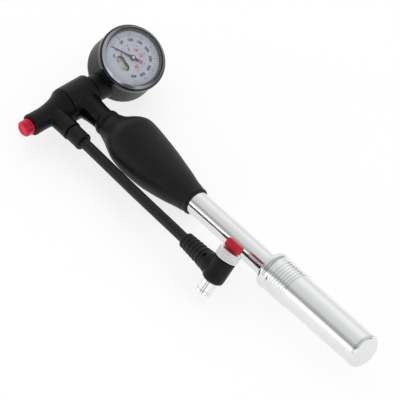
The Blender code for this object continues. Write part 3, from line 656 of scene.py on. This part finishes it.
def build_grip():
    """A palm-shaped rubber sleeve lofted through smooth stations."""
    count, steps = 112, 150
    start, end = GRIP_STATIONS[0][0], GRIP_STATIONS[-1][0]
    bm = bmesh.new()
    loops = []

    def add_loop(x, half_y, half_z, rise):
        loops.append(
            [
                bm.verts.new(
                    (
                        x,
                        half_y * math.cos(TURN * k / count),
                        rise + half_z * math.sin(TURN * k / count),
                    )
                )
                for k in range(count)
            ]
        )

    for i in range(steps + 1):
        x = start + (end - start) * i / steps
        add_loop(x, *hermite(GRIP_STATIONS, x))
    for x in (end - 0.1, start + 0.1):
        add_loop(x, TUBE_R + 0.1, TUBE_R + 0.1, 0.0)
    bridge(bm, loops)
    grip = finish_mesh(bm, "grip_sleeve", SQUARE, 50.0)
    piece(grip, "black_rubber", "pump_body", "black_rubber", "grip")


def build_barrel():
    """The drawn tube, from the neck's end to the handle's inner bush."""
    start, end = NECK_END_X + 0.4, BARREL_END_X
    profile = [(TUBE_BORE_R, start), (TUBE_R, start), (TUBE_R, end), (TUBE_BORE_R, end)]
    tube = lathe("barrel_shell", profile, ALONG_X, 0.35, 160, closed=True)
    piece(tube, "drawn_aluminium", "pump_body", "aluminium", "barrel_tube")


# ---------------------------------------------------------------- handle

HANDLE_R = 12.4
COLLAR_X = 193.5
RING_R = 12.9
RING_START_X = 203.6
RING_PITCH = 2.4
RING_COUNT = 6
RING_DEPTH = 0.6
RING_STEPS = 14
HANDLE_END_X = 287.4
END_WALL = 4.4
END_FILLET = 3.4


def build_handle():
    """One turned outline: the flared collar, the rings and the closed end."""
    collar = [
        (10.4, COLLAR_X),
        (12.5, COLLAR_X),
        (13.4, COLLAR_X + 0.9),
        (13.5, COLLAR_X + 3.0),
        (12.75, COLLAR_X + 5.6),
        (12.7, COLLAR_X + 7.6),
        (RING_R, RING_START_X - 1.2),
    ]
    outline = [(0.0, HANDLE_END_X - END_WALL), (10.4, HANDLE_END_X - END_WALL)] + soften(collar, 1.1)
    steps = RING_STEPS * RING_COUNT
    for i in range(steps + 1):
        phase = i / steps * RING_COUNT
        groove = max(0.0, math.cos(TURN * (phase - 0.25))) ** 1.5
        outline.append((RING_R - RING_DEPTH * groove, RING_START_X + RING_PITCH * phase))
    ring_end = RING_START_X + RING_PITCH * RING_COUNT
    outline += [(RING_R - 0.15, ring_end + 0.3), (HANDLE_R, ring_end + 1.0)]
    for i in range(13):
        angle = math.pi / 2.0 * i / 12
        inset = END_FILLET * (1.0 - math.cos(angle))
        outline.append((HANDLE_R - inset, HANDLE_END_X - END_FILLET * (1.0 - math.sin(angle))))
    outline.append((0.0, HANDLE_END_X))
    shell = lathe("handle_tube", outline, ALONG_X, 0.0, 160)
    piece(shell, "turned_aluminium", "plunger", "aluminium", "handle_shell")


# ---------------------------------------------------------------- gauge

# Heights are along the pointer's axis, and 0 is where the CAD puts that joint
GAUGE_R = 22.75
GAUGE_BACK = -36.0
GAUGE_FLOOR = -34.1
BEZEL_R = 23.2
LENS_R = 19.75
BOSS_LIFT = 3.0
DIAL_R = 19.6
DIAL_HOLE_R = 1.2
DIAL_THICK = 0.7
DIAL_TOP = -7.2
POINTER_REST = math.radians(213.0)
SCALE_ZERO = math.radians(214.5)
SCALE_SPAN = math.radians(245.5)
SCALE_MAX = 400
BAR_TO_PSI = 14.504


def scale_angle(psi):
    return SCALE_ZERO - SCALE_SPAN * psi / SCALE_MAX


class Print:
    """Flat ink shapes on the dial, all in one mesh."""

    def __init__(self):
        self.bm = bmesh.new()

    def mark(self, angle, inner, outer, width):
        """A radial tick."""
        turn = Matrix.Rotation(angle, 4, "Z")
        half = width / 2.0
        corners = ((inner, -half), (outer, -half), (outer, half), (inner, half))
        self.bm.faces.new([self.bm.verts.new(turn @ Vector((x, y, 0.0))) for x, y in corners])

    def dot(self, angle, distance, radius):
        centre = Vector((distance * math.cos(angle), distance * math.sin(angle), 0.0))
        points = [
            centre + Vector((math.cos(TURN * k / 20), math.sin(TURN * k / 20), 0.0)) * radius
            for k in range(20)
        ]
        self.bm.faces.new([self.bm.verts.new(point) for point in points])

    def arc(self, radius, width, start, end, steps=96):
        rings = [
            [
                self.bm.verts.new((r * math.cos(angle), r * math.sin(angle), 0.0))
                for angle in (start + (end - start) * i / steps for i in range(steps + 1))
            ]
            for r in (radius, radius + width)
        ]
        for i in range(steps):
            self.bm.faces.new((rings[0][i], rings[1][i], rings[1][i + 1], rings[0][i + 1]))

    def text(self, words, angle, distance, size, upright=False):
        """Words centred at a polar place, with their tops outwards, or upright."""
        curve = bpy.data.curves.new("words", "FONT")
        curve.body = words
        curve.size = size
        curve.align_x = "CENTER"
        curve.align_y = "CENTER"
        curve.resolution_u = 3
        curve.offset = size * 0.05
        obj = add_object("words", curve, Matrix.Identity(4))
        depsgraph = bpy.context.evaluated_depsgraph_get()
        mesh = bpy.data.meshes.new_from_object(obj.evaluated_get(depsgraph))
        place = Matrix.Rotation(angle, 4, "Z") @ Matrix.Translation((distance, 0.0, 0.0))
        spin = -angle if upright else -math.pi / 2.0
        mesh.transform(place @ Matrix.Rotation(spin, 4, "Z"))
        self.bm.from_mesh(mesh)
        discard(obj)

    def finish(self, name, look, height):
        bmesh.ops.scale(self.bm, vec=(MM, MM, MM), verts=self.bm.verts)
        for face in self.bm.faces:
            if face.normal.z < 0.0:
                face.normal_flip()
        mesh = bpy.data.meshes.new(name)
        self.bm.to_mesh(mesh)
        self.bm.free()
        ink = add_object(name, mesh, GAUGE @ Matrix.Translation((0.0, 0.0, height * MM)))
        piece(ink, look, "pump_body", "dial_white")


def build_dial_print():
    """Pounds outside, in black with red marks, and bars inside, in red with black marks."""
    black, red = Print(), Print()
    red_majors = (100, 150, 250, 300, 350, 400)
    for psi in range(0, SCALE_MAX + 1, 10):
        angle = scale_angle(psi)
        if psi % 50 == 0:
            ink = red if psi in red_majors else black
            ink.mark(angle, 14.5, 17.2, 0.42)
            black.text(str(psi), angle, 12.5, 2.75)
        else:
            black.mark(angle, 15.0, 16.8, 0.2)
    for psi in (95, 105, 145, 155, 295, 305, 345, 355, 395):
        red.mark(scale_angle(psi), 15.4, 16.8, 0.22)
    for bar in range(1, 28):
        angle = scale_angle(bar * BAR_TO_PSI)
        if bar % 5 == 0:
            black.dot(angle, 9.05, 0.42)
            red.text(str(bar), angle, 6.25, 3.1)
        else:
            black.mark(angle, 8.6, 9.4, 0.14)
    black.text("psi", math.radians(236.0), 13.2, 2.0)
    red.text("bar", math.radians(222.0), 8.2, 1.8)
    black.arc(17.65, 0.14, scale_angle(SCALE_MAX), SCALE_ZERO)
    black.finish("dial_print_black", "ink_black", DIAL_TOP + 0.03)
    red.finish("dial_print_red", "ink_red", DIAL_TOP + 0.035)


def build_gauge_case():
    """The cup and its boss, the screw ring, the window and the bright ring round it."""
    cup = [
        (0.0, GAUGE_BACK),
        (17.6, GAUGE_BACK),
        (20.6, -34.9),
        (21.95, -32.4),
        (GAUGE_R, -29.5),
        (GAUGE_R, -7.4),
        (20.4, -7.4),
        (20.4, -32.6),
        (18.9, GAUGE_FLOOR),
        (0.0, GAUGE_FLOOR),
    ]
    housing = lathe("gauge_cup", cup, GAUGE, 1.0, 160)
    piece(housing, "black_nylon", "pump_body", "black_nylon", "gauge_housing")
    lift = GAUGE.to_3x3() @ Vector((0.0, 0.0, BOSS_LIFT * MM))
    middle = Vector((ORIGIN.x + lift.x, ORIGIN.y, ORIGIN.z + lift.z))
    boss = lathe(
        "gauge_boss",
        [(0.0, 9.3), (8.9, 9.3), (9.0, 10.0), (9.2, 14.0), (9.6, 18.0), (9.8, 20.6), (0.0, 20.6)],
        axes_at(middle, (0.0, 1.0, 0.0), (1.0, 0.0, 0.0)),
        0.4,
    )
    piece(boss, "black_nylon", "pump_body", "black_nylon", "gauge_housing")
    bezel = [
        (18.5, -7.1),
        (19.6, -5.1),
        (19.9, -5.1),
        (19.9, -6.1),
        (22.2, -6.1),
        (BEZEL_R, -7.0),
        (BEZEL_R, -10.6),
        (BEZEL_R - 0.3, -10.6),
        (BEZEL_R - 0.3, -7.1),
    ]
    ring = lathe("bezel_ring", bezel, GAUGE, 0.2, 160, closed=True)
    piece(ring, "bezel_black", "pump_body", "black_nylon", "gauge_bezel")
    window = [
        (0.0, -4.9),
        (LENS_R, -4.9),
        (LENS_R, -4.3),
        (13.0, -3.8),
        (6.0, -3.5),
        (0.0, -3.4),
    ]
    lens = lathe("lens_window", window, GAUGE, 0.3, 128)
    piece(lens, "lens", "pump_body", "clear_lens", "gauge_lens")
    # The trim ring's tone, light on the arm's side and dark on the other, is painted light and shade in its
    # material
    trim = [(20.0, -5.9), (22.0, -5.9), (21.9, -5.6), (20.6, -4.1), (20.0, -4.1)]
    cone = lathe("trim_cone", trim, GAUGE, 0.2, 128, closed=True)
    piece(cone, "trim_silver_painted_shade", "pump_body", "chrome", "gauge_trim_ring")


def window_outline(margin=0.0):
    """The bean-shaped window under the hub, or a larger bean round it."""
    middle, half, spread = 8.9, 3.4 + margin, math.radians(17.0)
    steps = 10
    points = []
    for side in (-1.0, 1.0):
        end_angle = -math.pi / 2.0 + side * spread
        for i in range(steps + 1):
            turn = end_angle + math.pi * i / steps + (math.pi if side < 0.0 else 0.0)
            points.append(
                (
                    middle * math.cos(end_angle) + half * math.cos(turn),
                    middle * math.sin(end_angle) + half * math.sin(turn),
                )
            )
        arc_radius = middle + (half if side < 0.0 else -half)
        for i in range(1, 6):
            angle = end_angle - side * 2.0 * spread * i / 6
            points.append((arc_radius * math.cos(angle), arc_radius * math.sin(angle)))
    return points


SCREW_LIFT = 3.4
SCREW_PLACES = ((-3.2, -8.4), (2.2, -10.9), (3.3, -7.2))


def build_dial():
    """The enamelled plate, with the works' brass plate and three screws in its window."""
    back = DIAL_TOP - DIAL_THICK
    plate = [(DIAL_HOLE_R, back), (DIAL_R, back), (DIAL_R, DIAL_TOP), (DIAL_HOLE_R, DIAL_TOP)]
    dial = lathe("dial_plate", plate, GAUGE, 0.0, 128, closed=True)
    carve(dial, [prism("window", window_outline(), DIAL_TOP - 2.0, DIAL_TOP + 1.0, GAUGE)])
    piece(dial, "dial", "pump_body", "dial_white", "gauge_dial")
    works = prism("works_plate", window_outline(0.8), -10.2, -9.5, GAUGE)
    piece(add_bevel(works, 0.15), "works_brass", "pump_body", "brass")
    for i, (x, y) in enumerate(SCREW_PLACES):
        place = GAUGE @ Matrix.Translation((x * MM, y * MM, SCREW_LIFT * MM))
        head = lathe(
            f"plate_screw_{i}",
            [(0.0, -12.95), (1.45, -12.95), (1.45, -12.4), (1.0, -12.1), (0.0, -12.0)],
            place,
            0.15,
            40,
        )
        slot_place = place @ Matrix.Rotation(0.7 + i, 4, "Z")
        slot = prism("slot", rounded_rectangle(-2.0, 2.0, -0.18, 0.18, 0.05), -12.35, -11.0, slot_place)
        carve(head, [slot])
        piece(head, "steel", "pump_body", "steel")
    build_dial_print()


def build_pointer():
    """The needle, its hub and the shaft's end."""
    rest = GAUGE @ Matrix.Rotation(POINTER_REST, 4, "Z")
    outline = [
        (-4.6, -1.0),
        (-2.0, -0.9),
        (0.0, -0.95),
        (3.0, -0.62),
        (15.6, -0.16),
        (16.2, 0.0),
        (15.6, 0.16),
        (3.0, 0.62),
        (0.0, 0.95),
        (-2.0, 0.9),
        (-4.6, 1.0),
    ]
    needle = add_bevel(prism("needle", outline, -6.7, -6.35, rest), 0.08, 2)
    piece(needle, "ink_black", "pointer", "black_nylon", "gauge_pointer")
    hub = [(0.0, -6.9), (1.9, -6.9), (1.9, -5.9), (1.5, -5.6), (0.0, -5.6)]
    cap = lathe("needle_hub", hub, rest, 0.2, 48)
    piece(cap, "bezel_black", "pointer", "black_nylon", "gauge_pointer")
    pin = lathe("needle_pin", [(0.0, -5.7), (0.95, -5.7), (0.95, -5.35), (0.0, -5.3)], rest, 0.12, 32)
    piece(pin, "works_brass", "pointer", "black_nylon", "gauge_pointer")


# ---------------------------------------------------------------- swivel arm

ARM_R = 7.5
ARM_END_Y = -42.0
BUTTON_BORE_R = 5.9
BUTTON_R = 5.5
BUTTON_END_Y = -48.8
BUTTON_SKIRT_Y = -38.6


def build_tee():
    """The swivelling arm and the hose's socket, moulded together, with both bores."""
    arm = lathe(
        "arm",
        [
            (0.0, -12.7),
            (11.4, -12.7),
            (BLOCK_R, -13.3),
            (11.4, -14.9),
            (10.4, -16.6),
            (9.5, -18.6),
            (8.4, -22.5),
            (7.7, -26.5),
            (7.35, -30.0),
            (7.35, -36.0),
            (ARM_R, -40.0),
            (ARM_R, ARM_END_Y + 0.5),
            (7.0, ARM_END_Y),
            (0.0, ARM_END_Y),
        ],
        ALONG_Y,
        0.6,
    )
    socket = lathe(
        "socket",
        [(0.0, 2.0), (7.2, 2.0), (6.75, 9.0), (6.6, 14.0), (6.65, SOCKET_LENGTH), (0.0, SOCKET_LENGTH)],
        ALONG_HOSE,
        0.5,
    )
    tee = mould("swivel_shell", ALONG_Y, [arm, socket])
    carve(
        tee,
        [
            bore(BUTTON_BORE_R, ARM_END_Y - 1.0, -36.9, ALONG_Y),
            bore(4.3, 10.0, SOCKET_LENGTH + 1.0, ALONG_HOSE),
        ],
    )
    piece(tee, "black_nylon", "hose_arm", "black_nylon", "swivel_tee")


def build_button():
    """A hollow cap with a dished end, a grip groove and a skirt inside the arm."""
    end = BUTTON_END_Y
    outline = [
        (0.0, end + 0.35),
        (2.6, end + 0.35),
        (3.0, end),
        (4.2, end),
        (5.3, end + 0.9),
        (BUTTON_R, end + 1.6),
        (BUTTON_R, end + 4.6),
        (BUTTON_R - 0.3, end + 4.8),
        (BUTTON_R - 0.3, end + 5.2),
        (BUTTON_R, end + 5.4),
        (BUTTON_R, BUTTON_SKIRT_Y),
        (4.4, BUTTON_SKIRT_Y),
        (4.4, -43.2),
        (0.0, -43.2),
    ]
    button = lathe("button_cap", outline, ALONG_Y, 0.15, 96)
    piece(button, "red_anodised", "bleed_valve", "red_anodised", "bleed_button")


def build_ferrule():
    """A ridged nut with a tail inside the arm's socket."""
    start = SOCKET_LENGTH + 0.3
    end = start + FERRULE_LENGTH
    ridges = []
    pitch = (FERRULE_LENGTH - 3.4) / 4
    for i in range(4):
        z = start + 1.0 + pitch * i
        ridges += [(6.0, z), (6.0, z + 0.6 * pitch), (5.62, z + 0.82 * pitch)]
    outline = (
        [(1.4, start - 8.0), (3.9, start - 8.0), (3.9, start), (5.3, start), (5.7, start + 0.5)]
        + ridges
        + [(6.0, end - 2.2), (6.15, end - 1.4), (6.0, end - 0.5), (5.4, end), (1.4, end)]
    )
    ferrule = lathe("ferrule_nut", outline, ALONG_HOSE, 0.3, 96, closed=True)
    return piece(ferrule, "soft_rubber", "hose_arm", "black_nylon", "hose_ferrule")


# ---------------------------------------------------------------- chuck

CHUCK_R = 7.9
CHUCK_LOW = -8.1
CHUCK_HIGH = 9.1
RELIEF_END = CHUCK_DISTANCE - 15.0
KNOB_R = 8.0
KNOB_LOW = CHUCK_HIGH + 0.3
KNOB_HIGH = 16.2
TAB_LOW = KNOB_HIGH + 0.3
TAB_HIGH = 22.6
TAB_HALF = 6.3
TAB_HALF_THICK = 2.5
PIP_R = 0.42
PIP_ROWS = 6
PIP_COLUMNS = 11
PIP_PITCH = 1.08
PIP_MARGIN = 1.2
COUPLER_R = 5.33
COUPLER_END = -18.0
THREAD_PITCH = 0.8
THREAD_TURNS = 7
SPINDLE_BORE_R = 3.7
RELIEF_RIBS = 5
RELIEF_PITCH = 3.3
VENT_R = 1.1
VENT_FROM_BOOT = 2.4
VENT_AIM = (0.15, -0.35, 0.92)


def build_relief():
    """The ribbed boot, a little wider at each rib."""
    start = HOSE_END + 0.3
    outline = [(1.4, start), (4.6, start), (5.4, start + 0.8)]
    for i in range(RELIEF_RIBS):
        z = start + 1.0 + RELIEF_PITCH * i
        crest = 5.75 + 0.2 * i
        outline += [(crest - 0.1, z), (crest, z + 0.8), (crest - 0.05, z + 1.6), (crest - 0.6, z + 2.3)]
    outline += [(6.5, RELIEF_END - 1.6), (6.9, RELIEF_END), (1.4, RELIEF_END)]
    relief = lathe("relief_boot", outline, ALONG_HOSE, 0.35, 96, closed=True)
    return piece(relief, "soft_rubber", "hose_arm", "black_rubber", "strain_relief")


def build_chuck():
    """The elbow, with the spindle's bore through it and a small vent beside the boot."""
    body = lathe(
        "body",
        [
            (0.0, CHUCK_LOW),
            (5.6, CHUCK_LOW),
            (7.3, CHUCK_LOW + 0.8),
            (CHUCK_R, CHUCK_LOW + 2.6),
            (CHUCK_R, CHUCK_HIGH - 0.4),
            (7.6, CHUCK_HIGH),
            (0.0, CHUCK_HIGH),
        ],
        CHUCK,
        0.9,
    )
    branch = lathe(
        "branch",
        [
            (0.0, RELIEF_END + 0.3),
            (6.8, RELIEF_END + 0.3),
            (7.1, RELIEF_END + 2.0),
            (7.2, RELIEF_END + 5.0),
            (7.55, RELIEF_END + 6.0),
            (7.55, RELIEF_END + 7.4),
            (7.3, CHUCK_DISTANCE),
            (0.0, CHUCK_DISTANCE),
        ],
        ALONG_HOSE,
        0.5,
    )
    shell = mould("chuck_shell", CHUCK, [body, branch])
    vent_root = ALONG_HOSE @ Vector((0.0, 0.0, (RELIEF_END + VENT_FROM_BOOT) * MM))
    vent = bore(VENT_R, 4.6, 10.0, axes_at(vent_root, VENT_AIM, HOSE_LINE), "vent")
    carve(shell, [bore(SPINDLE_BORE_R, CHUCK_LOW - 2.0, CHUCK_HIGH + 2.0, CHUCK), vent])
    return piece(shell, "black_nylon", "hose_arm", "black_nylon", "chuck_body")


def build_coupler():
    """The spindle and the valve's sleeve in one turned part, threaded inside."""
    collar = CHUCK_LOW - 0.3
    outline = [(3.4, 14.0), (1.2, 14.0), (1.2, -11.2), (3.9, -11.2)]
    for i in range(THREAD_TURNS):
        z = -11.4 - THREAD_PITCH * i
        outline += [(4.05, z - 0.1), (3.9, z - 0.45)]
    outline += [
        (4.4, COUPLER_END),
        (COUPLER_R - 0.35, COUPLER_END),
        (COUPLER_R, COUPLER_END + 0.4),
        (COUPLER_R, COUPLER_END + 2.3),
        (COUPLER_R - 0.22, COUPLER_END + 2.5),
        (COUPLER_R - 0.22, COUPLER_END + 2.9),
        (COUPLER_R, COUPLER_END + 3.1),
        (COUPLER_R, collar),
        (3.4, collar),
    ]
    sleeve = lathe("coupler_tube", outline, CHUCK, 0.1, 128, closed=True)
    return piece(sleeve, "chrome", "coupler", "chrome", "coupler_sleeve")


def build_knob():
    """A knob with a fine square knurl between plain rims."""
    teeth, rows = 60, 7
    around = teeth * 6
    rim = 0.7
    depth = KNOB_HIGH - KNOB_LOW - 2.0 * rim
    heights = [KNOB_LOW + rim + depth * i / (rows * 6) for i in range(rows * 6 + 1)]
    bm = bmesh.new()
    loops = []

    def add_loop(height, radius_at):
        loops.append(
            [
                bm.verts.new(
                    (
                        radius_at(k) * math.cos(TURN * k / around),
                        radius_at(k) * math.sin(TURN * k / around),
                        height,
                    )
                )
                for k in range(around)
            ]
        )

    for height, radius in (
        (KNOB_LOW, SPINDLE_BORE_R),
        (KNOB_LOW, KNOB_R - 0.45),
        (KNOB_LOW + 0.15, KNOB_R - 0.15),
        (KNOB_LOW + 0.4, KNOB_R),
        (KNOB_LOW + rim - 0.1, KNOB_R),
    ):
        add_loop(height, lambda k, radius=radius: radius)
    for i, height in enumerate(heights):
        ridge = abs(math.sin(math.pi * i / 6.0))
        add_loop(
            height,
            lambda k, ridge=ridge: KNOB_R
            - 0.32 * (1.0 - min(1.0, 1.5 * ridge * abs(math.sin(math.pi * k / 6.0)))),
        )
    for height, radius in (
        (KNOB_HIGH - rim + 0.1, KNOB_R),
        (KNOB_HIGH - 0.4, KNOB_R),
        (KNOB_HIGH - 0.15, KNOB_R - 0.15),
        (KNOB_HIGH, KNOB_R - 0.45),
        (KNOB_HIGH, SPINDLE_BORE_R),
    ):
        add_loop(height, lambda k, radius=radius: radius)
    bridge(bm, loops)
    knob = finish_mesh(bm, "knob_ring", CHUCK, 40.0)
    return piece(knob, "knob_aluminium", "coupler", "aluminium", "knurled_knob")


def build_tab():
    """A bevelled plate with rows of small raised pips on its broad faces."""
    upright = CHUCK @ Matrix.Rotation(math.pi / 2.0, 4, "X")
    plate_half = TAB_HALF_THICK - 0.15
    outline = rounded_rectangle(-TAB_HALF, TAB_HALF, TAB_LOW, TAB_HIGH, 1.1)
    plate = add_bevel(prism("tab_plate", outline, -plate_half, plate_half, upright), 0.45, 4)
    bake_modifiers(plate)
    pips = bmesh.new()
    squash = Matrix.Diagonal((1.0, 1.0, 0.55, 1.0))
    for side in (-1.0, 1.0):
        for row in range(PIP_ROWS):
            across = PIP_COLUMNS - row % 2
            for column in range(across):
                x = (column - (across - 1) / 2.0) * PIP_PITCH
                rows_high = TAB_HIGH - TAB_LOW - 2.0 * PIP_MARGIN
                y = TAB_LOW + PIP_MARGIN + row * rows_high / (PIP_ROWS - 1)
                place = Matrix.Translation((x, y, side * (plate_half - 0.1)))
                bmesh.ops.create_icosphere(pips, subdivisions=2, radius=PIP_R, matrix=place @ squash)
    bumps = finish_mesh(pips, "pips", upright)
    stem = lathe("stem", disc(2.4, 14.4, TAB_LOW + 1.0), CHUCK, 0.2, 48)
    joined = gather((plate, bumps, stem), CHUCK)
    mesh = bpy.data.meshes.new("tab_paddle")
    joined.to_mesh(mesh)
    joined.free()
    mesh.shade_smooth()
    mesh.set_sharp_from_angle(angle=math.radians(35.0))
    tab = add_object("tab_paddle", mesh, CHUCK)
    return piece(tab, "red_plastic", "tab", "red_plastic", "thumb_tab")


# ---------------------------------------------------------------- carried-over CAD nodes

CAD_LOOKS = {
    "soft_rubber": (
        "barrel_seal",
        "swivel_seal_inner",
        "swivel_seal_outer",
        "handle_bumper",
        "piston_seal",
        "bleed_pin_seal",
        "coupler_seal_lower",
        "coupler_seal_upper",
        "valve_gasket",
    ),
    "black_nylon": ("rod_guide_bush", "handle_guide_bush"),
    "steel": (
        "check_valve_spring",
        "spindle_circlip",
        "plunger_rod",
        "piston_screw",
        "bleed_spring",
        "bleed_pin",
        "depressor_pin",
    ),
    "brass": (
        "check_valve_seat",
        "check_valve_poppet",
        "swivel_spindle",
        "gauge_socket",
        "movement_frame",
        "bourdon_tube",
        "pinion_shaft",
        "sector_gear",
        "bleed_valve_seat",
    ),
    "white_nylon": ("rod_anchor", "piston"),
}


def dress_cad_nodes():
    """Materials for the nodes that keep their CAD shape."""
    for look, nodes in CAD_LOOKS.items():
        for node in nodes:
            obj = frame["nodes"][node]
            for slot in obj.material_slots:
                slot.material = looks[look]


# ---------------------------------------------------------------- studio

# Brightness of the studio by degrees about the barrel (0 is +Y, 90 overhead, 180 is -Y): two broad
# soft boxes with a darker gap between them, as panels hung beside a product table
STUDIO = (
    (-180.0, 1.15),
    (-170.0, 0.95),
    (-90.0, 0.9),
    (0.0, 0.88),
    (20.0, 0.95),
    (46.0, 1.12),
    (68.0, 1.0),
    (87.0, 0.86),
    (106.0, 0.8),
    (121.0, 0.76),
    (130.0, 0.54),
    (146.0, 0.4),
    (153.0, 0.9),
    (159.0, 1.45),
    (170.0, 1.45),
    (180.0, 1.15),
)
STUDIO_PEAK = 1.45

# A grey flag and a dark one across the soft boxes, by the X component of the direction
FLAGS = (
    (-1.0, 0.9),
    (-0.38, 1.0),
    (-0.27, 0.95),
    (-0.2, 0.5),
    (-0.04, 0.5),
    (0.03, 0.9),
    (0.32, 1.0),
    (0.38, 0.15),
    (0.5, 0.15),
    (0.56, 0.9),
    (1.0, 0.9),
)


def fill_ramp(tree, stops, first, last, peak):
    """A colour ramp through (place, level) stops, scaled so that the peak is white."""
    ramp = tree.nodes.new("ShaderNodeValToRGB")
    elements = ramp.color_ramp.elements
    for i, (place, level) in enumerate(stops):
        share = (place - first) / (last - first)
        if 0 < i < len(stops) - 1:
            element = elements.new(share)
        else:
            element = elements[0 if i == 0 else len(elements) - 1]
            element.position = share
        value = level / peak
        element.color = (value, value, value, 1.0)
    return ramp


def build_studio():
    """Light from all round: the soft boxes' brightness times what the flags let through."""
    world = bpy.data.worlds.new("studio")
    bpy.context.scene.world = world
    world.use_nodes = True
    tree = world.node_tree
    coordinate = tree.nodes.new("ShaderNodeTexCoord")
    split = tree.nodes.new("ShaderNodeSeparateXYZ")
    tree.links.new(coordinate.outputs["Generated"], split.inputs[0])
    angle = tree.nodes.new("ShaderNodeMath")
    angle.operation = "ARCTAN2"
    tree.links.new(split.outputs["Z"], angle.inputs[0])
    tree.links.new(split.outputs["Y"], angle.inputs[1])
    share = tree.nodes.new("ShaderNodeMapRange")
    share.inputs[1].default_value = -math.pi
    share.inputs[2].default_value = math.pi
    tree.links.new(angle.outputs[0], share.inputs[0])
    ramp = fill_ramp(tree, STUDIO, -180.0, 180.0, STUDIO_PEAK)
    tree.links.new(share.outputs[0], ramp.inputs["Fac"])
    across = tree.nodes.new("ShaderNodeMapRange")
    across.inputs[1].default_value = -1.0
    across.inputs[2].default_value = 1.0
    tree.links.new(split.outputs["X"], across.inputs[0])
    flags = fill_ramp(tree, FLAGS, -1.0, 1.0, 1.0)
    tree.links.new(across.outputs[0], flags.inputs["Fac"])
    product = tree.nodes.new("ShaderNodeVectorMath")
    product.operation = "MULTIPLY"
    tree.links.new(ramp.outputs["Color"], product.inputs[0])
    tree.links.new(flags.outputs["Color"], product.inputs[1])
    background = tree.nodes["Background"]
    tree.links.new(product.outputs[0], background.inputs["Color"])
    background.inputs["Strength"].default_value = STUDIO_PEAK
    bpy.context.scene.view_settings.view_transform = "Standard"


TABLE_HALF = 4.0
TABLE_TOP_Z = -0.0004


def build_table():
    """A wide pale table just under the pump, lit from below so that it fades to white."""
    bm = bmesh.new()
    bmesh.ops.create_grid(bm, x_segments=8, y_segments=8, size=TABLE_HALF)
    mesh = bpy.data.meshes.new("table_top")
    bm.to_mesh(mesh)
    bm.free()
    table = add_object("table_top", mesh, Matrix.Translation((0.0, 0.0, TABLE_TOP_Z)))
    look = Look("table", Roughness=0.6, Emission_Color=(1.0, 1.0, 1.0, 1.0), Emission_Strength=0.78)
    look.drive("Base Color", look.tint(look.noise(0.3), (0.27, 0.27, 0.27), (0.29, 0.29, 0.29)))
    mesh.materials.append(look.material)


def main():
    build_camera()
    hose, exit_point = build_hose()
    build_head()
    build_grip()
    build_barrel()
    build_handle()
    build_gauge_case()
    build_dial()
    build_pointer()
    build_tee()
    build_button()
    build_ferrule()
    on_hose = [build_relief(), build_chuck(), build_coupler(), build_knob(), build_tab()]
    dress_cad_nodes()
    build_studio()
    build_table()
    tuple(exit_point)


main()
